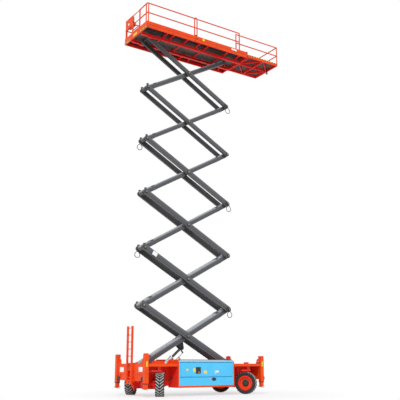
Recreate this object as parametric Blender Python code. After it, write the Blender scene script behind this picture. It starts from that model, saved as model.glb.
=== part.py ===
"""A large rough-terrain scissor lift, raised, with its wheels steered and its platform extended."""

import math

import bmesh
import bpy
from mathutils import Matrix, Vector

# All sizes are metres and degrees. X is measured from the middle of the scissor stack,
# +X towards the extension deck, -Y is the side of the orange beacon, Z is from the ground.

# Fits
SEAT = 0.0003               # gap between two pieces that touch
RUNNING_GAP = 0.0004        # radial gap of a pin in its bore
ROUND = 8                   # facets of a pin, boss or rung
CYLINDER_FACETS = 12        # of an axle, barrel or lamp

# Scissor stack
ARM_LENGTH = 5.86           # between the end pins
REST_ANGLE = 29.25          # of an arm above the horizontal
BAR_HEIGHTS = (0.30, 0.30, 0.26, 0.26, 0.22, 0.22)   # one for each level, from the ground up
BAR_WIDTH = 0.12            # of one outer bar
BAR_SPREAD = 0.31           # from the middle plane to an outer bar's middle
BOX_HALF = 0.17             # half the width of an inner arm
PIN_RADIUS = 0.06
PIN_HEAD = 0.09             # radius of a pin's head outside the outer bar
PIN_PROUD = 0.025           # how far that head stands out
BOSS_RADIUS = 0.10          # of the spacer between an outer bar and the inner arm
END_STEPS = 5               # facets of a bar's round end
BASE_PIN_Z = 1.42

# Rollers at the two sliding corners of the stack
ROLLER_RADIUS = 0.11
TOP_ROLLER_RADIUS = 0.05
ROLLER_IN = 0.46
ROLLER_OUT = 0.57
AXLE_RADIUS = 0.04

# Lift cylinder
BARREL_PIVOT = (-1.87, 0.82)    # x, z
BARREL_LENGTH = 1.23
BARREL_RADIUS = 0.11
GLAND_RADIUS = 0.125
GLAND_LENGTH = 0.10
ROD_RADIUS = 0.065
ROD_LENGTH = 1.50
TRUNNION_RADIUS = 0.04
BARREL_EYE = 0.10               # radius
ROD_EYE = 0.085                 # radius
LUG_ALONG = 2.49                # of the rod's eye along the lowest inner arm, from its fixed pin
LUG_DROP = 0.42                 # of the rod's eye below that arm's middle line
LUG_IN = 0.065
LUG_PLATE = 0.04
LUG_END = 0.11                  # radius of the lug's round end
LUG_BASE = 0.075                # half the foot of the barrel's lugs

# Chassis
REAR_END = -2.90
FRONT_END = 3.73
GIRDER_IN = 0.44
GIRDER_OUT = 0.60
UPSTAND_OUT = 0.62              # clear of the steered tyres
GIRDER_BOTTOM = 0.64            # over the axles
BELLY_BOTTOM = 0.50             # between the axles
CRADLE_BOTTOM = 0.33            # of the cradles that hold the axles
CRADLE_OUT = 0.34               # from an axle to its cradle's outer lower corner
CRADLE_IN = 0.48                # and to the inner one
CRADLE_RISE = 0.14              # length of the outer slope
CRADLE_RUN = 0.45               # and of the inner one
PLATE = 0.04
DECK_TOP = 1.50
DECK_FLANGE = 0.13
HANGER_Y = 1.27                 # of the bar that hangs from the deck over each wheel
HANGER_LOW = 1.135
HANGER_BAR = 0.07
HANGER_SPAN = (-0.40, 0.16)     # of that bar about the axle
SHIELD_TOP = 1.70               # of the girder's outer plate behind the hoods
UPSTAND_TOP = 1.64              # of the low guard on the deck beside the lift cylinder
UPSTAND_SPAN = (-2.12, -1.54)
DECK_HALF = 1.50
END_MEMBER = (0.10, 0.50)       # thickness and height of the cross-member at each end
AXLE_REACH = 0.67               # of the bores for the axles, past the girders' outer plates

# End frames with their jack columns
END_DEPTH = 0.10
END_BOTTOM = 0.72
END_BAND = 1.17                 # underside of the band across the whole end
END_SILL = (0.66, 0.78)         # bottom and top of the bar behind the ladder's foot
END_OPENING = 0.34              # half the width of the opening between them
POST_SIZE = 0.20
POST_BOTTOM = 0.62
POST_HALF = 1.53                # outer face of a column from the middle plane
POST_BORE = 0.165
POST_ROUND = 0.085              # corner radius of the one round top
POCKET_WIDTH = 0.44             # of the two recesses low in the end plate
POCKET_HEIGHT = 0.22
POCKET_DEPTH = 0.02
EAR_TOP = 1.74
EAR_WIDTH = 0.26
LEG_CAP = 0.06                  # from a leg's top to the underside of its column's cap
FOOT_SIZE = 0.24
FOOT_THICK = 0.03
FOOT_BOTTOM = 0.375
POSTS = {       # height of each column's top, and whether that top is round
    ("rear", -1): (1.97, True), ("rear", 1): (1.94, False),
    ("front", -1): (1.88, False), ("front", 1): (1.88, False),
}

# Ladder on the rear end frame
LADDER_HALF = 0.265
LADDER_RAIL = 0.07
LADDER_DEPTH = 0.09
LADDER_GAP = 0.03               # from the end frame to the ladder's rails
LADDER_BOTTOM = 0.555
LADDER_TOP = 3.26
LADDER_BRACKETS = (0.69, 1.40)  # their undersides
LADDER_PLATE_TOP = 0.75         # of the plate that closes the rails' feet
SOCKET_RADIUS = 0.06            # of the round hole in that plate
TOP_RUNG_DROP = 0.09            # of the highest rung below the rails' tops
RUNG_PITCH = 0.33
RUNGS = 8
RUNG_RADIUS = 0.018

# Hoods
HOOD_REAR = -1.20
HOOD_FRONT = 1.97
HOOD_BOTTOM = 0.48
HOOD_TOP = 1.66
HOOD_FACE = DECK_HALF
HOOD_WALL = 0.04
HOOD_CHAMFER = 0.09
BULKHEAD = 0.06                 # thickness of the plates before and behind the hoods
SILL_DROP = 0.09                # depth of the sill under each hood
SILL_WIDE = 0.10
DOOR_BOTTOM = 0.87
DOOR_HINGE_Z = 1.535
DOOR_GAP = 0.01

# Wheels, axles and steering
TYRE_RADIUS = 0.55
TYRE_WIDTH = 0.40
SIDEWALL_RADIUS = 0.46          # where the side is widest
LUG_HEIGHT = 0.034
LUGS = 20
LUG_STATIONS = 3                # round the tyre for one lug and its groove
BEAD_RADIUS = 0.345
BEAD_HALF = 0.15
RIM_FLANGE = 0.362
RIM_WALL = 0.045
RIM_FACETS = 12
HUB_RADIUS = 0.15
KINGPIN_Y = 1.144
KINGPIN_RADIUS = 0.035
REAR_AXLE_X = -2.21
FRONT_AXLE_X = 3.06
HUB_Z = TYRE_RADIUS * math.cos(2 * math.pi / (LUG_STATIONS * LUGS))    # stands on the lugs beside a groove
WHEEL_OFFSET = 0.14             # of the tyre's middle outboard of the kingpin
REAR_STEER = 58.0
FRONT_STEER = -50.0
FAR_SHARE = 0.8                 # of a near wheel's angle that the far wheel turns
SPINDLE_RADIUS = 0.055
HUB_SEAT = 0.16                 # outboard of the kingpin
AXLE_TUBE = 0.095
DIFF_RADIUS = 0.245
YOKE_HALF = 0.17                # half the height of the axle's forked end
YOKE_GAP = 0.13                 # half the height of the fork's mouth

# Platform
DECK_REAR = -3.20
DECK_FRONT = 3.45
SIDE_HALF = 1.27
SKIRT_RISE = 0.04               # bottom of the skirt over the top pins
SKIRT_HEIGHT = 0.36
SKIRT_PLATE = 0.03
SKIRT_STEP = 0.02               # of the sill beyond the toe board
SILL_HEIGHT = 0.15
SILL_WIDTH = 0.07
CHANNEL_IN = 0.45
CHANNEL_WALL = 0.015
CHANNEL_OUT = ROLLER_OUT + 0.005 + CHANNEL_WALL
BEAM_RISE = 0.125               # bottom of the cross-beams over the top pins
BEAM_HEIGHT = 0.08
BEAM_WIDTH = 0.07
BEAMS = (       # place of each cross-beam, and whether it crosses between the channels
    (-1.80, True), (-1.39, False), (-0.50, True), (0.31, False), (0.86, True), (2.21, True), (3.02, False),
)
END_BEAM = 0.04
DECK_PLATE = 0.015
RAIL_TUBE = 0.045
RAIL_RISE = 1.47                # top of the guard rail over the top pins
MID_RAIL_DROP = 0.55

# Extension deck
SLIDE_REAR = 2.70
SLIDE_FRONT = 5.85
SLIDE_IN = 0.21                 # from the main deck's side to the extension's
SLIDE_HEIGHT = 0.15
SLIDE_BEAM = 0.05
RUNNER = 0.006                  # height of the runners that the extension slides on
SLIDE_RAIL_DROP = 0.01          # of the extension's rail below the main one

# Places that follow from these
ANGLE = math.radians(REST_ANGLE)
LEVELS = len(BAR_HEIGHTS)
RISE = ARM_LENGTH * math.sin(ANGLE)
PIN_X = ARM_LENGTH * math.cos(ANGLE) / 2
TOP_PIN_Z = BASE_PIN_Z + LEVELS * RISE
BAR_IN = BAR_SPREAD - BAR_WIDTH / 2
BAR_OUT = BAR_SPREAD + BAR_WIDTH / 2
SLIDE_HALF = SIDE_HALF - SLIDE_IN
LADDER_X = REAR_END - END_DEPTH - LADDER_GAP - LADDER_DEPTH
MIDDLE_X = -(DECK_REAR + SLIDE_FRONT) / 2     # brings the whole machine's middle to the origin
MIDDLE_Y = 0.0077               # as the wheels of the two sides are not turned alike


def bore_radius(pin, facets=ROUND):
    """The corner radius of a faceted bore that a faceted pin turns in."""
    return (pin + RUNNING_GAP) / math.cos(math.pi / facets)


# Materials

def paint(name, color, roughness=0.45, metallic=0.0):
    material = bpy.data.materials.new(name)
    material.use_nodes = True
    shader = material.node_tree.nodes["Principled BSDF"]
    shader.inputs["Base Color"].default_value = (*color, 1.0)
    shader.inputs["Roughness"].default_value = roughness
    shader.inputs["Metallic"].default_value = metallic
    material.diffuse_color = (*color, 1.0)
    return material


def finishes():
    return {
        "orange": paint("orange_paint", (0.90, 0.12, 0.03), 0.4),
        "grey": paint("grey_paint", (0.10, 0.12, 0.14), 0.5),
        "blue": paint("blue_paint", (0.10, 0.50, 0.80), 0.4),
        "rubber": paint("rubber", (0.05, 0.055, 0.055), 0.85),
        "hose": paint("hose_rubber", (0.10, 0.10, 0.11), 0.7),
        "chrome": paint("chrome", (0.8, 0.8, 0.82), 0.15, 1.0),
        "steel": paint("bright_steel", (0.55, 0.57, 0.6), 0.35, 0.8),
        "dark": paint("dark_panel", (0.05, 0.045, 0.045), 0.7),
        "brown": paint("brown_deck", (0.10, 0.05, 0.04), 0.8),
        "cast": paint("cast_metal", (0.08, 0.08, 0.09), 0.6, 0.5),
        "amber": paint("amber_lens", (1.0, 0.35, 0.02), 0.2),
        "red": paint("red_lens", (0.7, 0.02, 0.02), 0.2),
    }


# Shapes

def mesh_of(bm, smooth=False):
    bmesh.ops.recalc_face_normals(bm, faces=bm.faces)
    mesh = bpy.data.meshes.new("shape")
    bm.to_mesh(mesh)
    bm.free()
    if smooth:
        mesh.shade_smooth()
        mesh.set_sharp_from_angle(angle=math.radians(50))
    return mesh


def spot(axis, along, u, v):
    """The point at `along` on one axis, with u and v on the two others in X, Y, Z order."""
    point = [u, v]
    point.insert("XYZ".index(axis), along)
    return Vector(point)


def prism(outline, axis, start, end):
    bm = bmesh.new()
    face = bm.faces.new([bm.verts.new(spot(axis, start, u, v)) for u, v in outline])
    grown = bmesh.ops.extrude_face_region(bm, geom=[face])["geom"]
    moved = [item for item in grown if isinstance(item, bmesh.types.BMVert)]
    bmesh.ops.translate(bm, verts=moved, vec=spot(axis, end - start, 0, 0))
    return mesh_of(bm)


def box(low, high):
    corners = ((low[0], low[1]), (high[0], low[1]), (high[0], high[1]), (low[0], high[1]))
    return prism(corners, "Z", low[2], high[2])


def sided(low, high, side):
    """A box whose Y limits are distances from the middle plane, on one side of it."""
    near, far = sorted((side * low[1], side * high[1]))
    return box((low[0], near, low[2]), (high[0], far, high[2]))


def turned(profile, axis, centre=(0, 0, 0), facets=ROUND, ring=False):
    """A profile of (distance along the axis, radius) turned about an axis through centre."""
    bm = bmesh.new()
    rings = []
    for along, radius in profile:
        angles = [2 * math.pi * i / facets - math.pi / 2 for i in range(facets)]
        rings.append([
            bm.verts.new(Vector(centre) + spot(axis, along, radius * math.cos(a), radius * math.sin(a)))
            for a in angles
        ])
    pairs = list(zip(rings, rings[1:]))
    if ring:
        pairs.append((rings[-1], rings[0]))
    else:
        bm.faces.new(rings[0])
        bm.faces.new(rings[-1])
    for one, two in pairs:
        for i in range(facets):
            j = (i + 1) % facets
            bm.faces.new((one[i], one[j], two[j], two[i]))
    return mesh_of(bm, smooth=True)


def pin(axis, centre, radius, start, end, facets=ROUND):
    return turned(((start, radius), (end, radius)), axis, centre, facets)


def strut(start, end, width, height):
    """A bar of rectangular section between two points, its height upright."""
    start, end = Vector(start), Vector(end)
    run = end - start
    side = run.cross(Vector((0, 0, 1)))
    if side.length < 1e-6:
        side = Vector((0, 1, 0))
    side.normalize()
    rise = side.cross(run).normalized()
    bm = bmesh.new()
    ring = [
        bm.verts.new(start + side * u * width / 2 + rise * v * height / 2)
        for u, v in ((-1, -1), (1, -1), (1, 1), (-1, 1))
    ]
    grown = bmesh.ops.extrude_face_region(bm, geom=[bm.faces.new(ring)])["geom"]
    moved = [item for item in grown if isinstance(item, bmesh.types.BMVert)]
    bmesh.ops.translate(bm, verts=moved, vec=run)
    return mesh_of(bm)


def joined(meshes):
    bm = bmesh.new()
    for mesh in meshes:
        bm.from_mesh(mesh)
    whole = bpy.data.meshes.new("joined")
    bm.to_mesh(whole)
    bm.free()
    return whole


def helper(name, meshes, owner):
    """A hidden object in its owner's frame, for the owner's Boolean."""
    tool = bpy.data.objects.new(name, joined(meshes))
    bpy.context.scene.collection.objects.link(tool)
    tool.parent = owner
    tool.hide_render = True
    tool.display_type = "WIRE"
    return tool


def fused(name, shapes, material, cuts=(), place=(0, 0, 0), turn=(0, 0, 0), parent=None):
    """One object made of all its shapes, less its cuts."""
    mesh = shapes[0]
    mesh.name = name
    obj = bpy.data.objects.new(name, mesh)
    bpy.context.scene.collection.objects.link(obj)
    obj.location = place
    obj.rotation_euler = turn
    obj.parent = parent
    mesh.materials.append(material)
    for kind, meshes in (("UNION", shapes[1:]), ("DIFFERENCE", cuts)):
        if not meshes:
            continue
        modifier = obj.modifiers.new(kind.lower(), "BOOLEAN")
        modifier.operation = kind
        modifier.solver = "EXACT"
        modifier.use_self = True
        modifier.object = helper(f"{name}_{kind.lower()}", meshes, obj)
    return obj


# Scissor stack

def bar_outline(start, end, height):
    """The side view of a bar with a round end about each of its end pins."""
    radius = height / 2
    points = []
    for centre, first in ((end, -90), (start, 90)):
        for step in range(END_STEPS + 1):
            angle = math.radians(first + 180 * step / END_STEPS)
            points.append((centre + radius * math.cos(angle), radius * math.sin(angle)))
    return points


def arm_pin(x, reach=None, roller=None):
    """A pin across the stack with its spacers and heads, or with its ends or rollers farther out."""
    half = [(BOX_HALF + SEAT, PIN_RADIUS), (BOX_HALF + SEAT, BOSS_RADIUS), (BAR_SPREAD, BOSS_RADIUS)]
    if reach is None:
        half += [(BAR_SPREAD, PIN_HEAD), (BAR_OUT + PIN_PROUD, PIN_HEAD)]
    elif roller is None:
        half += [(BAR_SPREAD, PIN_RADIUS), (reach, PIN_RADIUS)]
    else:
        half += [(BAR_SPREAD, AXLE_RADIUS), (ROLLER_IN, AXLE_RADIUS)]
        half += [(ROLLER_IN, roller), (ROLLER_OUT, roller)]
    profile = [(-along, radius) for along, radius in reversed(half)] + half
    return turned(profile, "Y", (x, 0, 0))


def outer_arm(level, parent, material):
    """The pair of outer bars, falling from the upper rear pin to the lower front one."""
    height = BAR_HEIGHTS[level]
    half = ARM_LENGTH / 2
    shapes = [arm_pin(0)]
    for side in (-1, 1):
        start, end = sorted((side * BAR_IN, side * BAR_OUT))
        shapes.append(prism(bar_outline(-half, half, height), "Y", start, end))
    top = level == LEVELS - 1
    shapes.append(arm_pin(-half, reach=CHANNEL_OUT - CHANNEL_WALL) if top else arm_pin(-half))
    shapes.append(arm_pin(half, ROLLER_OUT, ROLLER_RADIUS) if level == 0 else arm_pin(half))
    centre = (0, 0, BASE_PIN_Z + (level + 0.5) * RISE)
    return fused(f"arm_outer_{level + 1}", shapes, material, place=centre, turn=(0, ANGLE, 0), parent=parent)


def cylinder_lugs():
    """Two plates under the lowest inner arm, one each side of the rod's eye, with the pin's heads."""
    root = BAR_HEIGHTS[0] / 2 - PLATE
    outline = [(LUG_ALONG + 2 * LUG_END, -root), (LUG_ALONG - 2 * LUG_END, -root)]
    for step in range(END_STEPS + 1):
        angle = math.radians(180 + 180 * step / END_STEPS)
        outline.append((LUG_ALONG + LUG_END * math.cos(angle), -LUG_DROP + LUG_END * math.sin(angle)))
    shapes = []
    for side in (-1, 1):
        start, end = sorted((side * LUG_IN, side * (LUG_IN + LUG_PLATE)))
        shapes.append(prism(outline, "Y", start, end))
        head = sorted((side * (LUG_IN + LUG_PLATE / 2), side * (LUG_IN + LUG_PLATE + PIN_PROUD)))
        shapes.append(pin("Y", (LUG_ALONG, 0, -LUG_DROP), PIN_RADIUS, *head))
    return shapes


def inner_arm(level, parent, material):
    """The single box arm, rising from the lower rear pin to the upper front one."""
    height = BAR_HEIGHTS[level]
    shapes = [prism(bar_outline(0, ARM_LENGTH, height), "Y", -BOX_HALF, BOX_HALF)]
    bores = [0, ARM_LENGTH / 2, ARM_LENGTH]
    if level == 0:
        shapes += cylinder_lugs()
    if level == LEVELS - 1:
        bores.pop()
        profile = [
            (ROLLER_OUT, TOP_ROLLER_RADIUS), (ROLLER_IN, TOP_ROLLER_RADIUS), (ROLLER_IN, AXLE_RADIUS),
        ]
        whole = [(-along, radius) for along, radius in profile]
        whole += [(along, radius) for along, radius in reversed(profile)]
        shapes.append(turned(whole, "Y", (ARM_LENGTH, 0, 0)))
    cuts = [pin("Y", (x, 0, 0), bore_radius(PIN_RADIUS), -2 * BOX_HALF, 2 * BOX_HALF) for x in bores]
    start = (-PIN_X, 0, BASE_PIN_Z + level * RISE)
    return fused(
        f"arm_inner_{level + 1}", shapes, material, cuts, place=start, turn=(0, -ANGLE, 0), parent=parent
    )


# Hose loops at the arms' ends

HOSE_RADIUS = 0.018
HOSE_LOOP = 0.15            # radius of a loop
HOSE_HANG = 0.29            # of the loop's middle under the end pin
HOSE_ROOT = 0.16            # of the hose's two ends from that pin, along the bar
HOSE_UPPER = 0.035          # of those ends from the bar's middle line
HOSE_LOWER = -0.07
HOSE_STEPS = 8              # of the route round a loop
HOSE_STAND = 0.07           # of the loop's plane outside the outer bar
HOSE_LOOPS = (              # level of the outer arm that carries it, end (1 front, -1 rear), side
    (2, 1, -1), (4, 1, -1), (6, 1, -1), (2, -1, 1), (4, -1, 1),
)


def hose_loop(number, level, end, side, parent, material):
    """A bight of hose that leaves the outer bar's face, hangs under its end pin and goes back in."""
    curve = bpy.data.curves.new(f"hose_{number}", "CURVE")
    curve.dimensions = "3D"
    curve.bevel_depth = HOSE_RADIUS
    curve.bevel_resolution = 1
    curve.use_fill_caps = True
    face = BAR_OUT + SEAT
    plane = face + HOSE_STAND
    tip = end * ARM_LENGTH / 2
    root = tip - end * HOSE_ROOT
    upright = Matrix.Rotation(ANGLE, 2)
    points = [(root, face, HOSE_UPPER), (root, plane, HOSE_UPPER)]
    for step in range(HOSE_STEPS + 1):
        angle = math.radians(60 - 300 * step / HOSE_STEPS)
        drop = Vector((end * HOSE_LOOP * math.cos(angle), HOSE_LOOP * math.sin(angle) - HOSE_HANG))
        x, z = upright @ drop
        points.append((tip + x, plane, z))
    points += [(root, plane, HOSE_LOWER), (root, face, HOSE_LOWER)]
    spline = curve.splines.new("POLY")
    spline.points.add(len(points) - 1)
    for item, (x, y, z) in zip(spline.points, points):
        item.co = (x, side * y, z, 1)
    curve.materials.append(material)
    obj = bpy.data.objects.new(f"hose_{number}", curve)
    bpy.context.scene.collection.objects.link(obj)
    obj.location = (0, 0, BASE_PIN_Z + (level - 0.5) * RISE)
    obj.rotation_euler = (0, ANGLE, 0)
    obj.parent = parent


# Lift cylinder

def cylinder_line():
    """The cylinder's length and its angle above the horizontal, at rest."""
    eye_x = -PIN_X + LUG_ALONG * math.cos(ANGLE) + LUG_DROP * math.sin(ANGLE)
    eye_z = BASE_PIN_Z + LUG_ALONG * math.sin(ANGLE) - LUG_DROP * math.cos(ANGLE)
    run, rise = eye_x - BARREL_PIVOT[0], eye_z - BARREL_PIVOT[1]
    return math.hypot(run, rise), math.atan2(rise, run)


def lift_cylinder(parent, barrel_material, rod_material):
    length, slope = cylinder_line()
    place = (BARREL_PIVOT[0], 0, BARREL_PIVOT[1])
    turn = (0, -slope, 0)
    mouth = BARREL_LENGTH - GLAND_LENGTH
    body = turned(
        ((0.05, 0.07), (0.11, BARREL_RADIUS), (mouth, BARREL_RADIUS), (mouth, GLAND_RADIUS),
         (BARREL_LENGTH, GLAND_RADIUS)), "X", facets=CYLINDER_FACETS,
    )
    eye = pin("Y", (0, 0, 0), BARREL_EYE, -BARREL_EYE + SEAT, BARREL_EYE - SEAT)
    bore = bore_radius(ROD_RADIUS, CYLINDER_FACETS)
    cuts = [
        pin("X", (0, 0, 0), bore, 0.22, BARREL_LENGTH + PLATE, CYLINDER_FACETS),
        pin("Y", (0, 0, 0), bore_radius(TRUNNION_RADIUS), -0.2, 0.2),
    ]
    fused("lift_barrel", [body, eye], barrel_material, cuts, place, turn, parent)
    rod = pin("X", (0, 0, 0), ROD_RADIUS, length - ROD_LENGTH, length, CYLINDER_FACETS)
    rod_eye = pin("Y", (length, 0, 0), ROD_EYE, -LUG_IN + SEAT, LUG_IN - SEAT)
    hole = [pin("Y", (length, 0, 0), TRUNNION_RADIUS, -0.2, 0.2)]
    fused("lift_rod", [rod_eye, rod], rod_material, hole, place, turn, parent)


# Chassis

def belly_line():
    """The underside of the girders from the rear end to the front one, with a cradle round each axle."""
    line = []
    for end, axle_x, outward in ((REAR_END, REAR_AXLE_X, -1), (FRONT_END, FRONT_AXLE_X, 1)):
        outer, inner = axle_x + outward * CRADLE_OUT, axle_x - outward * CRADLE_IN
        half = [
            (end, GIRDER_BOTTOM), (outer + outward * CRADLE_RISE, GIRDER_BOTTOM), (outer, CRADLE_BOTTOM),
            (inner, CRADLE_BOTTOM), (inner - outward * CRADLE_RUN, BELLY_BOTTOM),
        ]
        line += half[::-outward]
    return line


def girders():
    rail_top = BASE_PIN_Z - ROLLER_RADIUS - SEAT
    rail = belly_line() + [(FRONT_END, rail_top), (REAR_END, rail_top)]
    shield = belly_line() + [
        (FRONT_END, DECK_TOP), (HOOD_FRONT + 0.15, DECK_TOP), (HOOD_FRONT + 0.05, SHIELD_TOP),
        (HOOD_REAR - 0.05, SHIELD_TOP), (HOOD_REAR - 0.15, DECK_TOP), (REAR_END, DECK_TOP),
    ]
    shapes = []
    for side in (-1, 1):
        shapes.append(prism(rail, "Y", *sorted((side * GIRDER_IN, side * (GIRDER_OUT + 0.01)))))
        shapes.append(prism(shield, "Y", *sorted((side * GIRDER_OUT, side * UPSTAND_OUT))))
        guard = (UPSTAND_SPAN[0], GIRDER_OUT, DECK_TOP - PLATE)
        shapes.append(sided(guard, (UPSTAND_SPAN[1], UPSTAND_OUT + 0.10, UPSTAND_TOP), side))
    return shapes


def belly_plate():
    """The plate between the girders from one axle's housing to the other's, and the cross-members."""
    clear = DIFF_RADIUS + 0.03
    inside = GIRDER_IN + 0.02
    lower = [(REAR_AXLE_X + clear, CRADLE_BOTTOM), *belly_line()[3:7], (FRONT_AXLE_X - clear, CRADLE_BOTTOM)]
    upper = [(x, z + PLATE) for x, z in reversed(lower)]
    shapes = [prism(lower + upper, "Y", -inside, inside)]
    beam_low = (BARREL_PIVOT[0] - LUG_BASE, -inside, GIRDER_BOTTOM - 0.11)
    shapes.append(box(beam_low, (BARREL_PIVOT[0] + 0.17, inside, GIRDER_BOTTOM + 0.02)))
    for x in (REAR_END, FRONT_END - END_MEMBER[0]):
        low = (x, -inside, GIRDER_BOTTOM + 0.06)
        shapes.append(box(low, (x + END_MEMBER[0], inside, low[2] + END_MEMBER[1])))
    return shapes


def fixed_pin():
    """The stack's fixed pin, held by a block on each girder."""
    rail_top = BASE_PIN_Z - ROLLER_RADIUS - SEAT
    collar, end = BOX_HALF + SEAT, BOX_HALF + 0.05
    half = [(collar, PIN_RADIUS), (collar, PIN_HEAD), (end, PIN_HEAD), (end, PIN_RADIUS)]
    half.append((GIRDER_IN + 0.08, PIN_RADIUS))
    profile = [(-along, radius) for along, radius in reversed(half)] + half
    shapes = [turned(profile, "Y", (-PIN_X, 0, BASE_PIN_Z))]
    for side in (-1, 1):
        low = (-PIN_X - 0.14, GIRDER_IN, rail_top - 0.01)
        shapes.append(sided(low, (-PIN_X + 0.14, GIRDER_OUT + 0.01, BASE_PIN_Z + 0.12), side))
    return shapes


def barrel_lugs():
    x, z = BARREL_PIVOT
    root = GIRDER_BOTTOM - 0.02
    outline = [(x - LUG_BASE, root), (x + LUG_BASE, root), (x + 0.07, z + 0.03), (x + 0.04, z + 0.07),
               (x - 0.04, z + 0.07), (x - 0.07, z + 0.03)]
    shapes = [pin("Y", (x, 0, z), TRUNNION_RADIUS, -BARREL_EYE - 0.02, BARREL_EYE + 0.02)]
    for side in (-1, 1):
        shapes.append(prism(outline, "Y", *sorted((side * BARREL_EYE, side * (BARREL_EYE + PLATE)))))
    return shapes


def deck_wings():
    """The decks over the wheels, each a plate on a flanged edge with ribs and a hanger under it."""
    shapes = []
    joint = BULKHEAD - 0.01
    wings = (
        (REAR_END, HOOD_REAR - joint, REAR_AXLE_X), (HOOD_FRONT + joint, FRONT_END, FRONT_AXLE_X),
    )
    low = DECK_TOP - DECK_FLANGE
    inner, outer = UPSTAND_OUT - 0.01, DECK_HALF
    for side in (-1, 1):
        for start, end, axle_x in wings:
            shapes.append(sided((start, inner, DECK_TOP - PLATE), (end, outer, DECK_TOP), side))
            shapes.append(sided((start, outer - PLATE, low), (end, outer, DECK_TOP - 0.01), side))
            for x in (start, (start + end) / 2, end - PLATE):
                shapes.append(sided((x, inner, low), (x + PLATE, outer - 0.01, DECK_TOP - 0.01), side))
            near, far = HANGER_Y - PLATE / 2, HANGER_Y + PLATE / 2
            web = (axle_x - 0.05, near, HANGER_LOW + 0.01)
            shapes.append(sided(web, (axle_x + 0.12, far, DECK_TOP - 0.02), side))
            bar = (axle_x + HANGER_SPAN[0], near - 0.02, HANGER_LOW)
            shapes.append(sided(bar, (axle_x + HANGER_SPAN[1], far + 0.02, HANGER_LOW + HANGER_BAR), side))
    return shapes


def hood_ends():
    """The plates before and behind each hood, cut to its outline, and the sill that joins them under it."""
    inner, low = UPSTAND_OUT - 0.01, HOOD_BOTTOM - SILL_DROP
    outline = [
        (inner, low), (HOOD_FACE, low), (HOOD_FACE, HOOD_TOP - HOOD_CHAMFER),
        (HOOD_FACE - HOOD_CHAMFER, HOOD_TOP), (inner, HOOD_TOP),
    ]
    shapes = []
    for side in (-1, 1):
        plate = [(side * y, z) for y, z in outline]
        shapes.append(prism(plate, "X", HOOD_REAR - BULKHEAD, HOOD_REAR - SEAT))
        shapes.append(prism(plate, "X", HOOD_FRONT + SEAT, HOOD_FRONT + BULKHEAD))
        sill = (HOOD_REAR - BULKHEAD + 0.01, HOOD_FACE - SILL_WIDE, low)
        top = (HOOD_FRONT + BULKHEAD - 0.01, HOOD_FACE - 0.005, HOOD_BOTTOM - SEAT)
        shapes.append(sided(sill, top, side))
    return shapes


def post_centre(start, outward, side):
    return start + outward * (END_DEPTH - 0.03), side * (POST_HALF - POST_SIZE / 2)


def chassis_frame(parent, material):
    shapes = girders() + belly_plate() + fixed_pin() + barrel_lugs() + deck_wings() + hood_ends()
    cuts = []
    for x in (REAR_AXLE_X, FRONT_AXLE_X):
        cuts.append(pin("Y", (x, 0, HUB_Z), AXLE_TUBE + SEAT, -AXLE_REACH, AXLE_REACH, CYLINDER_FACETS))
    for start, outward in ((REAR_END, -1), (FRONT_END, 1)):
        for side in (-1, 1):
            x, y = post_centre(start, outward, side)
            half = POST_SIZE / 2 + SEAT
            cuts.append(box((x - half, y - half, 1), (x + half, y + half, 2)))
    fused("chassis_frame", shapes, material, cuts, parent=parent)


def column(x, y, top, rounded):
    """A jack column, whose top is flat or has round shoulders seen along X."""
    half = POST_SIZE / 2
    outline = [(y - half, POST_BOTTOM), (y + half, POST_BOTTOM)]
    if rounded:
        for centre, first in ((y + half - POST_ROUND, 0), (y - half + POST_ROUND, 90)):
            for step in range(4):
                angle = math.radians(first + 30 * step)
                rise = POST_ROUND * math.sin(angle)
                outline.append((centre + POST_ROUND * math.cos(angle), top - POST_ROUND + rise))
    else:
        outline += [(y + half, top), (y - half, top)]
    return prism(outline, "X", x - half, x + half)


def bore_top(end, side):
    top, rounded = POSTS[end, side]
    return top - (POST_ROUND if rounded else PLATE)


def end_frame(end, start, outward, parent, material):
    """The plate that closes one end of the chassis, with a jack column and a lifting ear at each corner."""
    face = start + outward * END_DEPTH
    near, far = sorted((start + outward * SEAT, face))
    post_half, half = POST_SIZE / 2, POST_BORE / 2
    post_x, post_y = post_centre(start, outward, 1)
    inner, cheek = END_OPENING, END_OPENING + 0.06
    shapes = [
        box((near, -post_y, END_BAND), (far, post_y, DECK_TOP)),
        box((near, -inner - 0.02, END_SILL[0]), (far, inner + 0.02, END_SILL[1])),
    ]
    skin = sorted((face, face - outward * PLATE))
    recess = sorted((face - outward * POCKET_DEPTH, face + outward * PLATE))
    middle = (cheek + post_y - post_half) / 2
    pocket_low = END_BOTTOM + 0.07
    cuts = []
    for side in (-1, 1):
        shapes.append(sided((skin[0], inner, END_BOTTOM), (skin[1], post_y, DECK_TOP), side))
        shapes.append(sided((near, inner, END_BOTTOM), (far, cheek, DECK_TOP), side))
        shapes.append(sided((near, post_y - 2 * post_half, END_BOTTOM), (far, post_y, DECK_TOP), side))
        shapes.append(column(post_x, side * post_y, *POSTS[end, side]))
        shapes.append(lifting_ear(post_x, side, post_y - post_half))
        y = side * post_y
        cuts.append(box((post_x - half, y - half, 0), (post_x + half, y + half, bore_top(end, side))))
        eye_y = side * (post_y - post_half - EAR_WIDTH / 2)
        cuts.append(pin("X", (0, eye_y, EAR_TOP - 0.13), 0.05, post_x - 0.3, post_x + 0.3))
        low = (recess[0], middle - POCKET_WIDTH / 2, pocket_low)
        high = (recess[1], middle + POCKET_WIDTH / 2, pocket_low + POCKET_HEIGHT)
        cuts.append(sided(low, high, side))
    fused(f"end_frame_{end}", shapes, material, cuts, parent=parent)


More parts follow.
